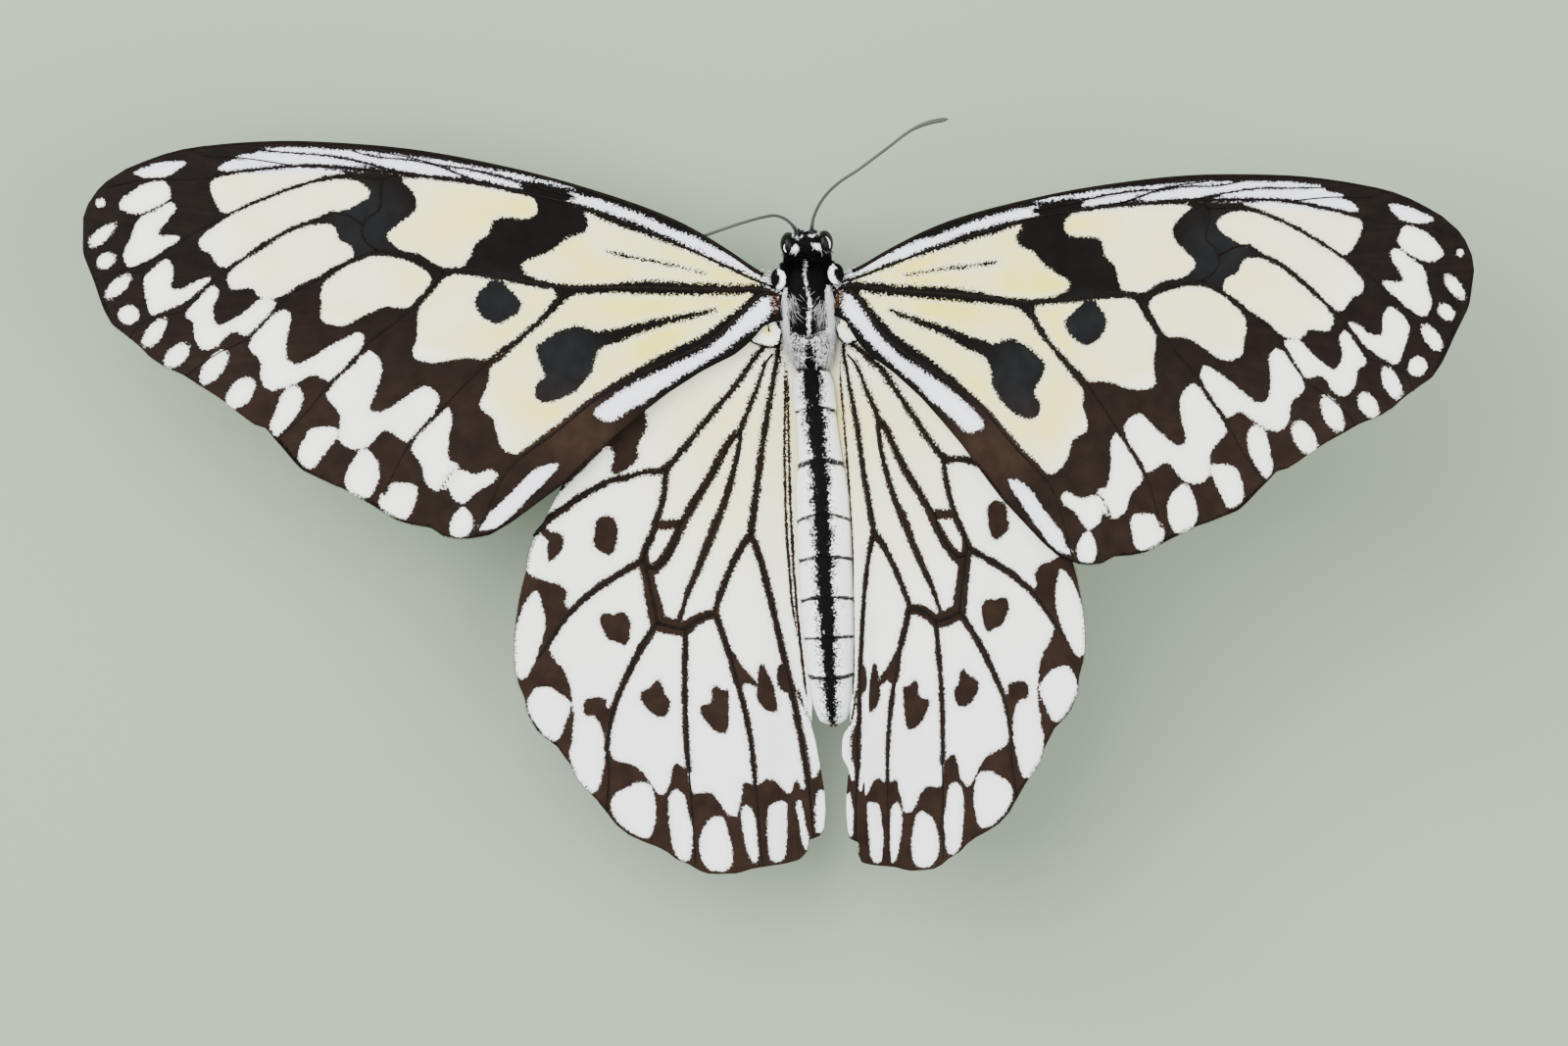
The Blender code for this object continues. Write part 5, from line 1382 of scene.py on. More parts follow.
    def thorax_form(self, y: Array, cos: Array, sin: Array) -> Array:
        """Plates and pits of head and thorax.

        Args:
            y: distance ahead of the thorax's middle.
            cos: 1 along the right side, -1 along the left.
            sin: 1 along the back, -1 along the belly.

        Returns:
            How far the skin stands out, in millimetres.
        """
        top = np.clip(sin, 0, 1)
        side = np.abs(cos)
        collar = 0.10 * bell(y, 1.35, 0.22) * top
        groove = -0.05 * bell(side, 0.28, 0.07) * top * smoothstep(-4.6, -4.0, y) * smoothstep(1.0, 0.4, y)
        scutellum = 0.13 * bell(y, -5.35, 0.45) * bell(side, 0, 0.55) * top
        fold = -0.10 * bell(y, -4.6, 0.16) * top
        plates = -0.09 * bell(y + 0.8 * sin, -2.1, 0.16) * smoothstep(0.2, -0.2, sin)
        socket = 0.10 * bell(y, 4.25, 0.28) * bell(side, 0.42, 0.14) * top
        brow = -0.07 * bell(y, 3.3, 0.9) * bell(side, 0, 0.16) * top * (y > 2.2)
        return collar + groove + scutellum + fold + plates + socket + brow

    def markings(self, x: Array, y: Array, z: Array, sin: Array) -> tuple[Array, Array, Array]:
        """Distance into the white scales, greyness of the white, and distance from the rings' dark edges.

        Args:
            x: distance right of the middle.
            y: distance ahead of the thorax's middle.
            z: height.
            sin: 1 along the back, -1 along the belly.

        Returns:
            Three grids in millimetres, 0 to 1, and millimetres.
        """
        side, back = np.abs(x), sin > 0
        head, chest, belly = y > 2.2, (y <= 2.2) & (y > WAIST_Y), y <= WAIST_Y

        def route(across: Array, line: tuple, widths: tuple) -> Array:
            """Distance from a line of given half widths."""
            places = np.stack([across.ravel(), y.ravel()], 1)
            return segment_distance(places, np.array(line), np.array(widths)).reshape(y.shape)

        ink = np.full(y.shape, -1.0)
        for centre, half, tilt in HEAD_SPOTS:
            ink = np.where(head & back, np.maximum(ink, 1.4 * oval(x, y, centre, half, tilt)), ink)
        grey = np.where(y > 3.8, 0.3, 0.0)
        face = np.minimum(0.30 - np.abs(side - 0.95), z - 7.6)
        ink = np.where((y > 3.9) & ~back, np.maximum(ink, np.minimum(face, 9.2 - z)), ink)
        middle = np.minimum(route(x, *MIDDLE_LINE_FRONT), route(x, *MIDDLE_LINE_REAR))
        ink = np.where(chest & back, np.maximum(ink, -middle), ink)
        silky = -route(side, *SIDE_LINE) * (z > 9.6) - 1.0 * (z <= 9.6)
        grey = np.where(chest & (silky > ink), 0.05, grey)
        ink = np.where(chest, np.maximum(ink, silky), ink)
        for centre in FLANK_SPOTS:
            ink = np.where(chest, np.maximum(ink, oval(y, z, centre, (0.55, 0.38))), ink)
        behind, ahead, seam = self.ring_place(y, sin)
        width = np.interp(y, *np.array(STRIPE[::-1]).T) + 0.08 + 0.14 * np.exp(-behind / 1.2)
        width = width - 0.12 * np.exp(-ahead / 0.7)
        lobes = (side - width) * np.where(side < width, 0.48, 0.27 - 0.15 * np.exp(-behind / 0.9))
        low = np.hypot(side, np.clip(z - 7.0, 0, 9)) - 0.5
        spots = np.hypot((np.minimum(behind, ahead) - 1.6) / 0.9, (z - 8.0) / 0.35) - 1
        marks = np.where(back, lobes, np.minimum(low, spots * 0.4))
        ink = np.where(belly, np.clip(marks, -1, 1.2), ink)
        seam = np.where((y < -6.9) & (y > -35.5), seam, FAR_OFF)
        waist = np.minimum((side - np.interp(y, *rows(WAIST_DARK).T)) * 0.35, 0.01)
        ink = np.where(chest & (sin > -0.3) & (y < -4.1), np.maximum(ink, waist), ink)
        return ink, np.maximum(grey, 0.30 * smoothstep(-3.6, -4.6, y) * smoothstep(-7.6, -6.9, y)), seam

    def shape(self) -> Shape:
        """The skin as one closed mesh."""
        ends = np.stack([self.points[0].mean(0), self.points[-1].mean(0)])
        values = {k: np.concatenate([v.ravel(), [v[0].mean(), v[-1].mean()]])
                  for k, v in (("ink", self.ink), ("grey", self.grey), ("seam", self.seam))}
        points = np.vstack([self.points.reshape(-1, 3), ends])
        return Shape(points, capped(len(self.y), self.sides), values).outward()

    def sample(self, rng: np.random.Generator, count: int, density: Array) -> dict[str, Array]:
        """Random places on the skin.

        Args:
            rng: the random numbers' source.
            count: how many.
            density: how thickly they lie at each grid point.

        Returns:
            Place, normal, ink, grey and unwrapped place of each.
        """
        weight = (self.area * density)[:-1].ravel()
        i, j = np.divmod(rng.choice(len(weight), count, p=weight / weight.sum()), self.sides)
        s, t = rng.random(count), rng.random(count)
        k = (j + 1) % self.sides

        def mix(grid: Array) -> Array:
            """Value between the cell's four corners."""
            a, b = (part.reshape((count,) + (1,) * (grid.ndim - 2)) for part in (s, t))
            near = grid[i, j] * (1 - a) + grid[i + 1, j] * a
            return near * (1 - b) + (grid[i, k] * (1 - a) + grid[i + 1, k] * a) * b

        return {"at": mix(self.points), "normal": mix(self.normals), "ink": mix(self.ink),
                "grey": mix(self.grey), "bake": self.unwrap[i, j]}


@dataclass
class Tuft:
    """How hair-like scales stand over part of the skin."""

    count: int
    density: Array                     # how thickly they stand at each grid point
    length: Point                      # shortest and longest in millimetres
    width: float                       # half width in millimetres
    lift: float                        # how steeply they leave the skin, 0 to 1
    stray: float                       # how far they turn from the common lie
    paleness: Point | None = None      # lowest and highest, or None to follow the markings
    lean: Point = (0.0, -1.0, 0.0)     # the common lie
    spatter: float = 0.10              # how far in mm blades of one colour stray over the edge of the other


@dataclass
class Coat:
    """Hair-like scales as closed three-sided blades that taper to a point.

    A blade of length L leaves its root along d and bends towards the lie l:
    p(s) = root + L (s d + s² (l - d) / 2), with the half width w (1 - s²) across it.
    """

    rng: np.random.Generator
    stations: tuple[float, ...] = (0.0, 0.4, 0.75)

    def blades(self, at: Array, start: Array, lie: Array, length: Array, width: float, bake: Array,
               pale: Array | float = 0.0, rust: Array | float = 0.0) -> Shape:
        """Makes one blade for each root.

        Args:
            at: roots.
            start: direction in which each leaves its root.
            lie: direction to which each bends.
            length: lengths in millimetres.
            width: half width in millimetres.
            bake: unwrapped place of each root.
            pale: how white each is, 0 to 1.
            rust: how rusty each is, 0 to 1.

        Returns:
            All the blades as one shape.
        """
        count, s = len(at), np.array(self.stations)
        start, lie = unit(start), unit(lie)
        bent = s[:, None] * start[:, None] + 0.5 * (s ** 2)[:, None] * (lie - start)[:, None]
        centre = at[:, None] + length[:, None, None] * bent
        tip = at + length[:, None] * (start + 0.5 * (lie - start))
        across = unit(np.cross(start, lie + 1e-4))
        above = unit(np.cross(across, lie))
        turn = (np.arange(3) * math.tau / 3 + math.pi / 2)[None, :, None]
        ring = np.cos(turn) * across[:, None] + 0.5 * np.sin(turn) * above[:, None]
        body = centre[:, :, None] + (width * (1 - s ** 2))[:, None, None] * ring[:, None]
        per = 3 * len(s) + 1
        points = np.concatenate([body.reshape(count, -1, 3), tip[:, None]], 1).reshape(-1, 3)
        last = per - 4
        caps = np.array([[2, 1, 0]] + [[last + k, last + (k + 1) % 3, per - 1] for k in range(3)])
        first = (np.arange(count) * per)[:, None, None]
        faces = [(part[None] + first).reshape(-1, part.shape[1]) for part in (tiles(len(s), 3), caps)]
        made = {k: np.repeat(v + np.zeros(count), per) for k, v in (("pale", pale), ("rust", rust))}
        round_root = np.arange(per) * 2.1
        local = 0.0015 * np.stack([np.cos(round_root), np.sin(round_root)], 1)
        made["bake"] = (bake[:, None] + local[None]).reshape(-1, 2)
        return Shape(points, faces, made).outward()

    def on_skin(self, skin: Skin, tuft: Tuft) -> Shape:
        """Blades over part of the skin.

        Args:
            skin: the skin.
            tuft: how they stand.

        Returns:
            The blades.
        """
        rng, count = self.rng, tuft.count
        spot = skin.sample(rng, count, tuft.density)
        normal = spot["normal"]
        lie = np.asarray(tuft.lean)[None] + tuft.stray * rng.normal(size=(count, 3))
        lie = unit(lie - (lie * normal).sum(1, keepdims=True) * normal)
        start = lie * (1 - tuft.lift) + normal * tuft.lift
        if tuft.paleness is None:
            white = spot["ink"] + tuft.spatter * rng.normal(size=count) > 0
            pale = np.where(white, rng.uniform(0.8, 1.0, count) - 0.4 * spot["grey"], 0.0)
        else:
            pale = np.clip(rng.uniform(*tuft.paleness, count), 0, 1)
        return self.blades(spot["at"] - 0.03 * normal, start, lie + normal * tuft.lift * 0.35,
                           rng.uniform(*tuft.length, count), tuft.width, spot["bake"], pale)

    def root_scales(self, pose: WingPose, count: int = 420) -> Shape:
        """White and rusty scales crowded over a forewing's root.

        Args:
            pose: the wing's pose.
            count: how many.

        Returns:
            The blades.
        """
        rng = self.rng
        low = rng.random(count) < 0.35
        u = np.where(low, rng.normal(-0.75, 0.22, count), rng.normal(-0.6, 0.55, count))
        v = np.where(low, rng.normal(-1.50, 0.48, count), rng.normal(0.10, 0.40, count) + 0.3 * u)
        flat = np.stack([u, v], 1)
        root = pose.place(flat, 0.06)
        normal = pose.place(flat, 1.06) - root
        out = unit(pose.place(flat + np.array([1.0, 0.45]), 0.06) - root + 0.45 * rng.normal(size=(count, 3)))
        rust = low * (rng.random(count) < 0.5) * rng.uniform(0.2, 0.9, count)
        pale = np.where(rng.random(count) < np.where(low, 0.15, 0.75), 0.95, 0.0)
        return self.blades(root, out * 0.8 + normal * 0.3, out, rng.uniform(0.2, 0.42, count), 0.045,
                           np.clip(0.5 + 0.1 * flat, 0.02, 0.98), pale, rust)


def ball(centre: Point, half: Point, rings: int, sides: int) -> Shape:
    """Closed egg shape: centre + (a sin p cos t, b sin p sin t, c cos p), its poles single points.

    Args:
        centre: its middle.
        half: its three half sizes.
        rings: rings between the poles.
        sides: points of each ring.

    Returns:
        The shape.
    """
    p = np.linspace(0, math.pi, rings + 2)[1:-1, None]
    t = (np.arange(sides) * math.tau / sides)[None]
    points = np.stack([np.sin(p) * np.cos(t), np.sin(p) * np.sin(t), np.cos(p) * np.ones_like(t)], -1)
    points = np.vstack([points.reshape(-1, 3), [0, 0, 1], [0, 0, -1]]) * np.array(half) + np.array(centre)
    return Shape(points, capped(rings, sides)).outward()


def round_path(path: Array, up: Point, k: Array, turn: Array) -> tuple[Array, Array]:
    """Directions at places round a tube.

    Args:
        path: the tube's middle line.
        up: direction that it never follows.
        k: row of the path for each place.
        turn: angle of each place round the tube.

    Returns:
        Ahead and outward for each place.
    """
    ahead, across, above = frames_along(path, up)
    return ahead[k], np.cos(turn)[:, None] * across[k] + np.sin(turn)[:, None] * above[k]


@dataclass
class Head:
    """Eyes, feelers, palps and the coiled tongue."""

    antenna_right: tuple = (
        (0.66, 4.32, 10.50), (0.74, 4.85, 11.0), (0.92, 5.64, 11.0), (1.5, 6.78, 11.05), (2.33, 7.78, 11.15),
        (3.43, 8.64, 11.3), (4.95, 9.51, 11.55), (7.38, 11.1, 12.0), (9.85, 12.7, 12.45), (11.4, 13.22, 12.7),
        (13.0, 13.43, 12.9))
    antenna_left: tuple = (
        (-0.64, 4.30, 10.50), (-0.76, 4.82, 10.98), (-1.45, 5.58, 11.05), (-2.33, 5.97, 10.95),
        (-3.24, 5.94, 10.7), (-5.22, 5.54, 10.3), (-7.2, 5.01, 10.0), (-9.5, 4.38, 9.8), (-12.6, 3.75, 9.8),
        (-16, 3.35, 10.05))
    crescent_left: tuple = ((0.20, 0.12), (0.32, -0.32), (0.18, -0.72))
    crescent_right: tuple = ((0.12, 0.54), (0.34, 0.26), (0.45, -0.05), (0.46, -0.55))
    crescent_radii: Point = (0.085, 0.095)
    antenna_radius: float = 0.135
    club_radius: float = 0.20
    joint_length: float = 0.32
    palp: tuple = ((0.62, 3.80, 7.55, 0.22), (0.68, 4.28, 7.45, 0.26), (0.70, 4.58, 7.82, 0.24),
                   (0.66, 4.70, 8.12, 0.17), (0.62, 4.73, 8.36, 0.08))
    palp_hairs: int = 420
    coil_centre: Point = (3.3, 5.80)
    coil_radius: float = 0.17
    coil_inner: float = 0.40
    coil_pitch: float = 0.82
    coil_turns: float = 1.15

    def eyes(self, bench: Workbench) -> None:
        """Two compound eyes, and the white crescent of scales over the back of each."""
        crescents = zip(SIDES, (self.crescent_left, self.crescent_right), self.crescent_radii)
        for (name, side), route, radius in crescents:
            eye = ball(EYE_CENTRE, EYE_HALF, 46, 64).mirrored(side, HEAD_CENTRE[0])
            bench.place(f"eye_{name}_lens", eye, "lens", "eye", (f"eye_{name}",))
            x, y = smooth_path(route, 10).T
            t = np.linspace(-1, 1, len(x))
            z = np.sqrt(np.maximum(1 - (x / EYE_HALF[0]) ** 2 - (y / EYE_HALF[1]) ** 2, 0)) * EYE_HALF[2]
            path = np.stack([x, y, z - 0.02], 1) + np.array(EYE_CENTRE)
            radii = radius * np.sqrt(1 - 0.96 * t ** 2) * (1 + 0.4 * t)
            rim = tube(path, radii, 10, (0.3, 0.0, 1.0), 0.35).inked(0.6)
            bench.place(f"eye_{name}_rim", rim.mirrored(side, HEAD_CENTRE[0]), "skin", "body")

    def antennae(self, bench: Workbench) -> None:
        """Feelers: a socket bulb, then a jointed thread that thickens into a slim club."""
        for name, route in (("l", self.antenna_left), ("r", self.antenna_right)):
            line = smooth_path(route, 40)
            run = run_of(line)
            at = np.linspace(0, run[-1], int(run[-1] / 0.08))
            bulb = 0.11 * bell(at, 0, 0.28) + 0.05 * bell(at, 0.75, 0.25)
            club = (self.club_radius - self.antenna_radius) * smoothstep(run[-1] - 4.0, run[-1] - 1.5, at)
            phase = np.mod(at / self.joint_length, 1)
            joint = 1 - 0.14 * bell(np.minimum(phase, 1 - phase), 0, 0.14)
            taper = np.sqrt(np.clip((run[-1] - at) / 0.5, 0.05, 1))
            thread = tube(points_at(at, run, line), (self.antenna_radius + bulb + club) * joint * taper, 12)
            bench.place(f"antenna_{name}_thread", thread, "feeler", "cuticle", (f"antenna_{name}",))

    def mouth(self, bench: Workbench, coat: Coat) -> None:
        """Upturned hairy palps, and the tongue coiled between them under the head.

        Args:
            bench: where finished shapes go.
            coat: maker of the palps' hair.
        """
        rng, count = coat.rng, self.palp_hairs
        line = smooth_path(self.palp, 8)
        path, radii = line[:, :3], line[:, 3]
        for name, side in SIDES:
            core = tube(path, radii * 0.8, 14, RIGHTWARD)
            bench.place(f"palp_{name}_core", core.mirrored(side), "cuticle", "cuticle", (f"palp_{name}",))
            k = rng.integers(2, len(path) - 2, count)
            turn = rng.uniform(0, math.tau, count)
            ahead, normal = round_path(path, RIGHTWARD, k, turn)
            length = rng.uniform(0.22, 0.38, count) * (1 - 0.6 * k / len(path))
            root = path[k] + normal * radii[k, None] * 0.7
            bake = np.stack([0.5 + 0.4 * np.sin(turn), k / len(path)], 1)
            hair = coat.blades(root, ahead * 0.8 + normal * 0.5, ahead, length, 0.03, bake,
                               0.85 * (normal[:, 0] > 0.35))
            bench.place(f"palp_{name}_hair", hair.mirrored(side), "hair", "body")
        t = np.linspace(0, 1, 150)
        turn = math.radians(92) + t * self.coil_turns * math.tau
        reach = self.coil_inner + self.coil_pitch * self.coil_turns * (1 - t)
        path = np.stack([np.zeros_like(t), self.coil_centre[0] + reach * np.cos(turn),
                         self.coil_centre[1] + reach * np.sin(turn)], 1)
        path = np.vstack([[[0, 3.45, 7.9]], path])
        ripple = 1 + 0.05 * np.sin(np.arange(len(path)) * 2.1)
        radii = np.linspace(1.0, 0.55, len(path)) * self.coil_radius * ripple
        bench.place("tongue_coil", tube(path, radii, 12, RIGHTWARD), "cuticle", "cuticle", ("proboscis",))


@dataclass
class Legs:
    """Six legs: folded forelegs, and four walking legs whose feet lie along the floor."""

    mid: tuple = (
        (0.95, -2.3, 7.5, 0.42), (0.95, -2.3, 6.70, 0.42), (1.6, -2.2, 6.4, 0.45), (3, -1.8, 6.6, 0.42),
        (4.8, -1.3, 7.2, 0.36), (5.6, -0.8, 6.2, 0.30), (7.1, 0.2, 2.6, 0.24), (7.8, 0.7, 0.7, 0.22),
        (8.3, 1.1, 0.24, 0.22), (9.2, 1.8, 0.24, 0.21), (10.1, 2.5, 0.24, 0.20), (10.5, 2.8, 0.24, 0.14))
    hind: tuple = (
        (0.9, -4.9, 7.5, 0.40), (0.9, -4.9, 6.72, 0.40), (1.5, -5.3, 6.35, 0.45), (2.6, -7, 6.4, 0.42),
        (4.3, -9.8, 6.9, 0.36), (4.9, -11, 6.1, 0.30), (6.2, -14.6, 2.4, 0.24), (6.9, -16.6, 0.7, 0.22),
        (7.2, -17.5, 0.24, 0.22), (7.7, -19.6, 0.24, 0.21), (8.15, -21.4, 0.24, 0.20), (8.3, -22, 0.24, 0.14))
    fore: tuple = (
        (0.85, 0.6, 7.5, 0.34), (0.85, 0.6, 6.95, 0.34), (1.05, 1.7, 6.35, 0.30), (1.1, 2.9, 6.05, 0.26),
        (1.05, 3.35, 5.7, 0.22), (0.95, 2.6, 5.35, 0.20), (0.9, 1.5, 5.3, 0.15))
    tarsal_joint: float = 0.85         # length of one joint of a foot
    foot_top: float = 0.9              # what lies lower than this is the foot
    hairs: int = 420

    def build(self, bench: Workbench, coat: Coat) -> None:
        """Makes each leg with its joints, spines, claws and hair.

        Args:
            bench: where finished shapes go.
            coat: maker of the hair.
        """
        for kind, route in (("fore", self.fore), ("mid", self.mid), ("hind", self.hind)):
            stands = kind != "fore"
            line = smooth_path(route, 9)
            path, radii = line[:, :3].copy(), line[:, 3].copy()
            if stands:
                run = np.cumsum(np.linalg.norm(np.gradient(path, axis=0), axis=1))
                phase = np.mod(run / self.tarsal_joint, 1)
                waist = 1 - 0.16 * bell(np.minimum(phase, 1 - phase), 0, 0.12)
                radii = np.where(path[:, 2] < self.foot_top, radii * waist, radii)
                path[:, 2] = np.maximum(path[:, 2], radii + 0.01)
                path[:, 2] = np.where(path[:, 2] < 0.3, radii + 0.01, path[:, 2])
            parts = [tube(path, radii, 14, LEG_UP)] + (self.claws(path) if stands else [])
            leg = Shape.joined([Shape(p.points, p.faces) for p in parts])
            for name, side in SIDES:
                piece = f"leg_{kind}_{name}"
                bench.place(f"{piece}_cuticle", leg.mirrored(side), "cuticle", "cuticle", (piece,))
                hair = self.hair(coat, path, radii, stands).mirrored(side)
                bench.place(f"{piece}_hair", hair, "hair", "body")

    @staticmethod
    def claws(path: Array) -> list[Shape]:
        """Two curved claws at the end of a foot that follows the path."""
        ahead = unit((path[-1] - path[-4]) * np.array([1, 1, 0]))
        across = np.array([-ahead[1], ahead[0], 0])
        t = np.linspace(0, 1, 8)[:, None]
        made = []
        for side in (-1, 1):
            route = path[-1] + 0.05 * side * across + ahead * 0.42 * t + across * 0.22 * side * t ** 1.5
            route[:, 2] = 0.14 + 0.10 * np.sin(t[:, 0] * math.pi) - 0.09 * t[:, 0]
            made.append(tube(route, np.linspace(0.07, 0.015, 8), 7))
        return made

    def hair(self, coat: Coat, path: Array, radii: Array, stands: bool) -> Shape:
        """Short spines in rows along the shin and foot, and hair on the thigh.

        Args:
            coat: maker of the hair.
            path: the leg's middle line.
            radii: its radii.
            stands: whether the leg has a foot on the floor, which stays bare below.

        Returns:
            The hair.
        """
        rng, count = coat.rng, self.hairs
        k = rng.integers(2, len(path) - 3, count)
        turn = rng.uniform(0, math.tau, count)
        if stands:
            turn = np.where(path[k, 2] < self.foot_top, rng.uniform(0.1, math.pi - 0.1, count), turn)
        ahead, normal = round_path(path, LEG_UP, k, turn)
        near = np.clip(1 - k / len(path), 0, 1)
        thigh = near > 0.55
        length = rng.uniform(0.16, 0.26, count) + 0.25 * near * thigh
        pale = 0.8 * (thigh & (rng.random(count) < 0.35))
        bake = np.stack([0.05 + 0.9 * k / len(path), 0.5 + 0.45 * np.sin(turn)], 1)
        root = path[k] + normal * radii[k, None] * 0.9
        return coat.blades(root, ahead * 0.8 + normal * 0.6, ahead, length, 0.022, bake, pale)


@dataclass
class Trunk:
    """The dressed skin: its coats, the caps over the forewing roots, the hindwing lobes and the claspers."""

    skin: Skin
    coat: Coat
    cap_centres: tuple = ((2.35, 0.55, 11.0), (2.60, 0.75, 11.0))
    cap_half: Point = (0.72, 0.90, 0.36)
    cap_line: tuple = ((-0.20, 0.50), (-0.42, 0.10), (-0.30, -0.40), (-0.02, -0.95))
    lobe_edge: tuple = (
        3.3, -2.7, 4.2, -3.6, 5.15, -4.6, 4.12, -5.2, 3.22, -5.4, 2.62, -5.0, 2.34, -4.05, 2.75, -3.25)
    lobe_mark: tuple = ((3.50, -3.25), (3.42, -3.85))
    lobe_middle: Point = (3.4, -4.2)
    lobe_rings: int = 24
    clasper: tuple = ((0.24, -37.1, 8.72), (0.30, -37.6, 8.72), (0.26, -38.0, 8.70), (0.12, -38.2, 8.68))

    def tufts(self) -> dict[str, list[Tuft]]:
        """How each coat stands on the skin, in the order in which they are made."""
        skin = self.skin
        x, y = skin.points[..., 0], skin.points[..., 1]
        top = np.sin(skin.angle)[None] * np.ones_like(y)
        chest = smoothstep(-7.4, -7.0, y) * smoothstep(2.3, 1.8, y)
        back = smoothstep(-0.3, 0.2, top)
        waist = smoothstep(-4.1, -4.9, y) * smoothstep(-0.2, 0.1, top)
        thorax = chest * (0.35 + back) * (1 - 0.92 * waist)
        beside = smoothstep(0.25, 0.75, np.abs(x))
        rear = smoothstep(-3.6, -4.6, y) * smoothstep(-7.2, -6.5, y) * (0.3 + back) * beside
        stripe = bell(np.abs(x), 1.98, 0.28) * smoothstep(0.0, -1.0, y) * chest * back
        silk = []
        for side in (-1, 1):
            front = bell(x * side, 1.35, 0.35) * bell(y + 0.3 * side, -1.9, 0.8)
            density = (front + 0.15 * bell(x * side, 0.9, 0.4) * bell(y, -4.3, 0.35)) * back
            lean = (-0.7 * side, -0.8, 0.0)
            silk.append(Tuft(90, density, (0.7, 1.4), 0.014, 0.22, 0.35, (0.2, 0.9), lean))
        head = smoothstep(2.0, 2.4, y)
        collar = bell(y, 2.15, 0.6) * smoothstep(-0.9, -0.4, top)
        first = smoothstep(-7.4, -7.9, y) * smoothstep(-10.6, -9.6, y)
        belly = smoothstep(-7.6, -8.4, y) * smoothstep(0.25, 0.42, skin.ring_place(y, top)[1])
        return {
            "thorax": [Tuft(4600, thorax, (0.25, 0.45), 0.024, 0.22, 0.24)],
            "waist": [Tuft(520, rear, (0.4, 1.0), 0.026, 0.30, 0.9, (-1.3, 1.4))],
            "side_stripes": [Tuft(640, stripe, (0.9, 1.7), 0.022, 0.16, 0.12, (0.8, 1.0))],
            "silk": silk,
            "head": [Tuft(1500, head, (0.14, 0.28), 0.018, 0.35, 0.4, lean=(0.0, -1.0, 0.1))],
            "collar": [Tuft(2600, collar, (0.35, 0.7), 0.024, 0.42, 0.3)],
            "under": [Tuft(2600, chest * smoothstep(-0.1, -0.5, top), (0.5, 0.9), 0.024, 0.3, 0.35)],
            "first_rings": [Tuft(900, first * (0.3 + back), (0.3, 0.5), 0.024, 0.16, 0.35)],
            "abdomen": [Tuft(8500, belly, (0.22, 0.36), 0.048, 0.08, 0.25, spatter=0.07)]}

    def build(self, bench: Workbench) -> None:
        """Makes and dresses all of it."""
        bench.place("body_skin", self.skin.shape(), "skin", "body", ("head", "thorax", "abdomen"))
        for name, tufts in self.tufts().items():
            made = Shape.joined([self.coat.on_skin(self.skin, tuft) for tuft in tufts])
            bench.place(f"coat_{name}", made, "hair", "body")
        self.caps(bench)
        self.lobes(bench)
        self.claspers(bench)

    def caps(self, bench: Workbench) -> None:
        """Scale caps over the forewing roots, white beside the back and black outside."""
        for (name, side), centre in zip(SIDES, self.cap_centres):
            shape = ball(centre, self.cap_half, 30, 44)
            turn = np.array(Matrix.Rotation(math.radians(24), 3, "Y"))
            shape.points = (shape.points - np.array(centre)) @ turn.T + np.array(centre)
            line = smooth_path(np.array(self.cap_line) + np.array(centre[:2]), 5)
            gap = segment_distance(shape.points[:, :2], line, np.linspace(0.26, 0.30, 16))
            bench.place(f"shoulder_cap_{name}", shape.inked(-gap).mirrored(side), "skin", "body")

    def lobes(self, bench: Workbench) -> None:
        """Small white lobes at the hindwing roots, three-cornered, rimmed dark and cream in the middle.

        A lobe is c + r (edge(t) - c), raised by h (1 - r⁴)^(1/2) on each face, with r from 0 to 1.
        """
        edge, middle = smooth_path(rows(self.lobe_edge), 8, True), np.array(self.lobe_middle)
        count = self.lobe_rings
        r = np.concatenate([np.linspace(0.06, 0.98, count), [1.0], np.linspace(0.98, 0.06, count)])
        face = np.concatenate([np.ones(count), [0.0], -np.ones(count)])
        x, y = np.moveaxis(middle + r[:, None, None] * (edge - middle)[None], -1, 0)
        swell = 0.07 * np.sin(2.6 * (x - 3.0)) * np.sin(1.9 * (y + 5.0)) + 0.10 * (x - 3.4)
        z = 10.22 + swell + (face * 0.10 * np.sqrt(1 - r ** 4))[:, None]
        ends = [[*middle, z[0].mean()], [*middle, z[-1].mean()]]
        points = np.vstack([np.stack([x, y, z], -1).reshape(-1, 3), ends])
        reach = np.linalg.norm(edge - middle, axis=1)[None]
        depth = np.append(((1 - r)[:, None] * reach).ravel(), [1.2, 1.2])
        x, y, _ = points.T
        none = np.zeros(len(points))
        mark = segment_distance(points[:, :2], np.array(self.lobe_mark), np.array([0.06, 0.12]))
        ink = np.minimum(depth - 0.05 - 0.15 * smoothstep(-3.6, -4.6, y), 2.5 * mark)
        cream = smoothstep(0.75, 0.15, np.hypot(x - 3.5, y + 3.8))
        values = {"ink": ink, "cream": cream, "reach": none + 30.0,
                  **{k: none for k in ("lilac", "rust", "blue", "ray")}}
        lobe = Shape(points, capped(len(r), len(edge)), values).outward()
        for name, side in SIDES:
            bench.place(f"hindwing_lobe_{name}", lobe.mirrored(side), "wing", "wing")

    def claspers(self, bench: Workbench) -> None:
        """Brown claspers that just show at the abdomen's end."""
        parts = []
        for side in (-1, 1):
            path = np.array(self.clasper) * np.array([side, 1, 1]) + np.array([ABDOMEN_LIE, 0, 0])
            path = smooth_path(path, 5)
            parts.append(tube(path, np.linspace(0.30, 0.08, len(path)), 12, squash=1.3))
        bench.place("claspers", Shape.joined(parts), "clasper", "cuticle")


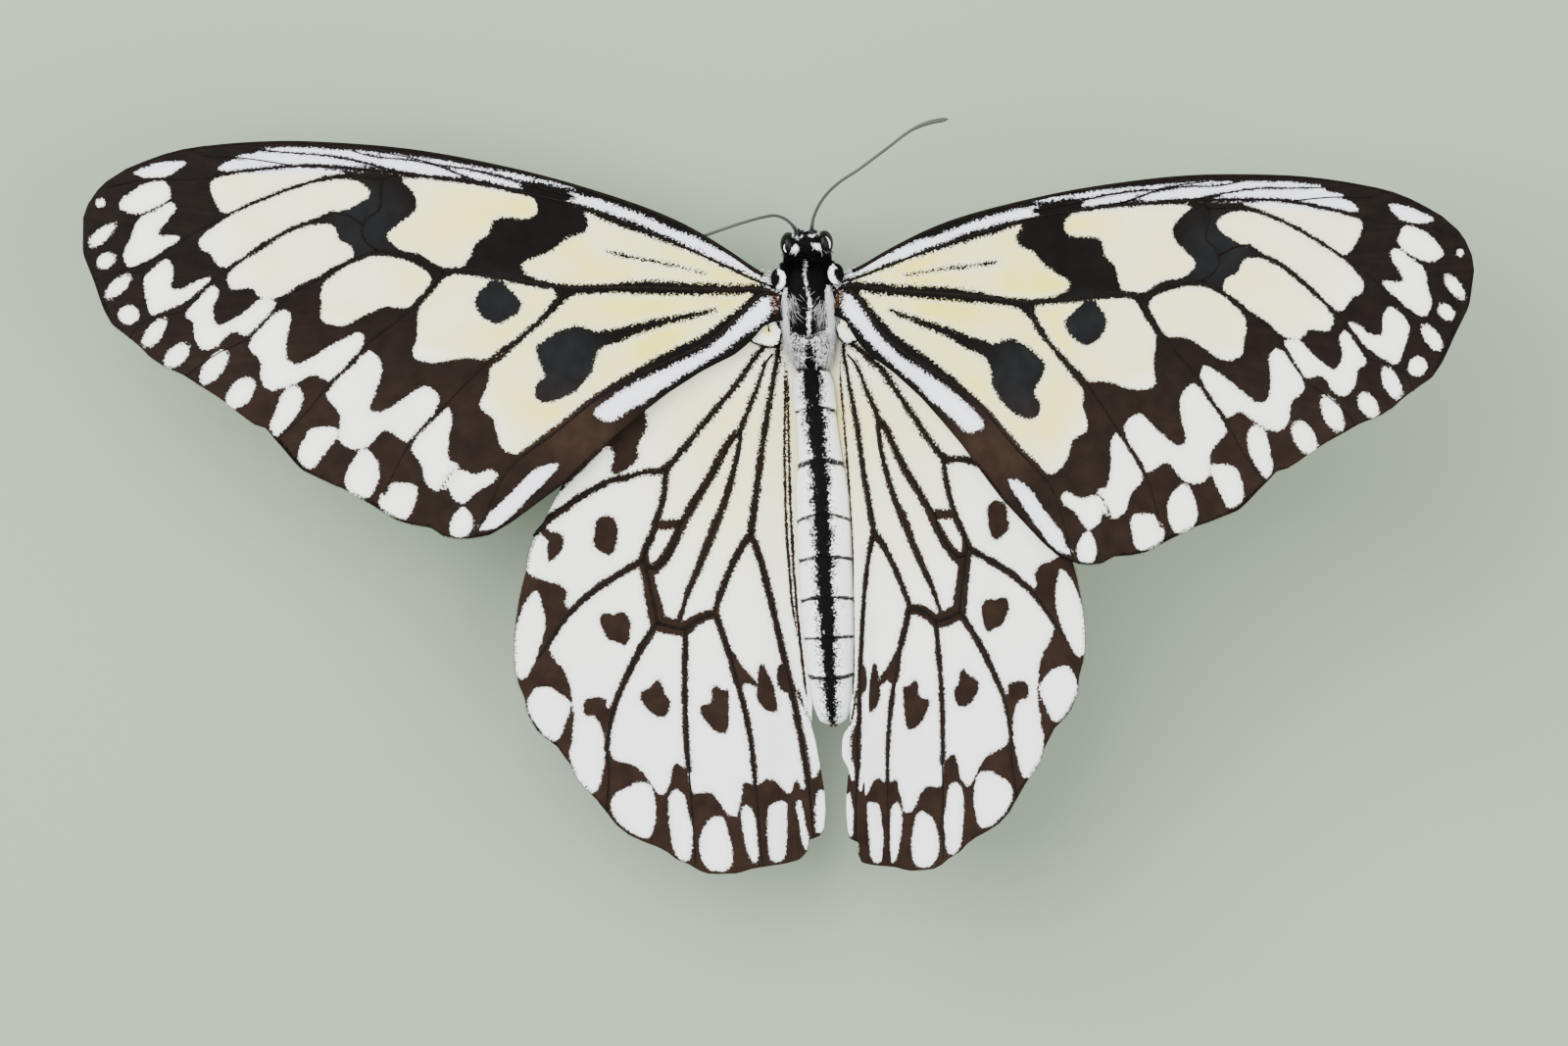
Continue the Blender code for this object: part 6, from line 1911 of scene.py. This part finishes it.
@dataclass
class Studio:
    """The pale floor, the soft lights and the camera that sees the insect as the photograph does."""

    floor_half: float = 400.0
    world: str = "#DCE3E6"
    world_strength: float = 1.6
    # Each lamp: where it hangs in millimetres, its size in metres and its power in watts
    lamps: dict = field(default_factory=lambda: {"key": ((-180, 160, 420), 0.50, 5.0),
                                                 "fill": ((260, -60, 300), 0.40, 1.5)})

    @staticmethod
    def aim(made: bpy.types.Object, x: Array, y: Array, z: Array, at: Array) -> None:
        """Sets an object's three axes and its place."""
        matrix = np.eye(4)
        matrix[:3] = np.stack([x, y, z, at], 1)
        made.matrix_world = Matrix(matrix.tolist())

    def build(self, bench: Workbench) -> None:
        """Lays the floor, hangs the lights and sets the camera."""
        mesh = bpy.data.meshes.new("floor")
        corners = self.floor_half * np.array([[-1, -1, 0], [1, -1, 0], [1, 1, 0], [-1, 1, 0]])
        mesh.from_pydata(bench.metres(corners).tolist(), [], [(0, 1, 2, 3)])
        mesh.materials.append(bench.finishes["paper"])
        shown("floor", mesh)
        world = bpy.data.worlds.new("studio")
        world.use_nodes = True
        fill(world.node_tree, world.node_tree.nodes["Background"],
             {"Color": linear(self.world), "Strength": self.world_strength})
        bpy.context.scene.world = world
        for name, (spot, size, power) in self.lamps.items():
            lamp = bpy.data.lights.new(name, "AREA")
            lamp.size, lamp.energy = size, power
            z = unit(np.array(spot, float))
            x = unit(np.cross([0, 1, 0], z))
            self.aim(shown(name, lamp), x, np.cross(z, x), z, np.array(spot) / 1000)
        self.camera(bench)

    def camera(self, bench: Workbench) -> None:
        """Sets the camera: a long lens almost straight above, leaning towards the right wings."""
        sin, cos = math.sin, math.cos
        lean, turn = CAMERA_LEAN, CAMERA_TURN
        right = np.array([cos(turn) * cos(lean), -sin(turn), -cos(turn) * sin(lean)])
        up = np.array([sin(turn) * cos(lean), cos(turn), -sin(turn) * sin(lean)])
        back = np.array([sin(lean), 0, cos(lean)])
        middle_x = (PICTURE_WIDTH_PX / 2 - THORAX_PX[0]) * MM_PER_PX
        middle_y = (THORAX_PX[1] - PICTURE_HEIGHT_PX / 2) * MM_PER_PX
        at = np.array([0, 0, THORAX_LEVEL]) + middle_x * right + middle_y * up + CAMERA_DISTANCE * back
        lens = bpy.data.cameras.new("camera")
        lens.sensor_width = SENSOR_MM
        lens.lens = SENSOR_MM * CAMERA_DISTANCE / (PICTURE_WIDTH_PX * MM_PER_PX)
        lens.clip_start, lens.clip_end = 0.01, 10.0
        made = shown("camera", lens)
        self.aim(made, right, up, back, bench.metres(at[None])[0])
        bpy.context.scene.camera = made


def main() -> None:
    """Builds the scene piece by piece and notes the sizes."""
    logging.basicConfig(level=logging.INFO, format="%(message)s")
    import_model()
    bench = Workbench.from_frame({
        "wing": WingScales().build(), "vein": DarkScales().build(), "hair": Hair().build(),
        "skin": BodyScales().build(), "paper": StudioFloor().build(), "lens": EyeLens().build(),
        "feeler": FeelerScales().build(),
        "cuticle": DarkScales("leg_black_cuticle", "#15120F", "#3A2D22", 0.4, 0.42).build(),
        "clasper": DarkScales("clasper_brown_cuticle", "#3B2314", "#6B4426", 0.3, 0.4).build()})
    coat = Coat(np.random.default_rng(SEED))
    Studio().build(bench)
    fore, hind = WingKind.FORE, WingKind.HIND
    poses = {
        "forewing_l": WingPose(fore, -1, (3.44, 0.18, 10.6), 10.0, 3.0, -4.0, -0.06, 0.995),
        "forewing_r": WingPose(fore, 1, (3.70, 0.18, 10.6), 25.0, -8.1, -8.0, 0.055, 1.01),
        "hindwing_l": WingPose(hind, -1, (3.44, 0.34, 9.5), 10.0, 2.7, 0.0, 0.0, 1.0, pleat=-0.45),
        "hindwing_r": WingPose(hind, 1, (3.04, -0.03, 9.5), 27.0, 3.2, -2.9, 0.014, 0.98, draw=1.0,
                               pleat=0.87, lobe=0.8),
    }
    forewing = forewing_plan()
    for name, pose in poses.items():
        Wing(name, pose, forewing if pose.kind is fore else hindwing_plan(pose)).build(bench, coat)
    Trunk(Skin(), coat).build(bench)
    head = Head()
    head.eyes(bench)
    head.antennae(bench)
    head.mouth(bench, coat)
    Legs().build(bench, coat)
    for name in ("forewing_l", "forewing_r"):
        bench.place(f"{name}_root_scales", coat.root_scales(poses[name]), "hair", "body")


if __name__ == "__main__":
    main()
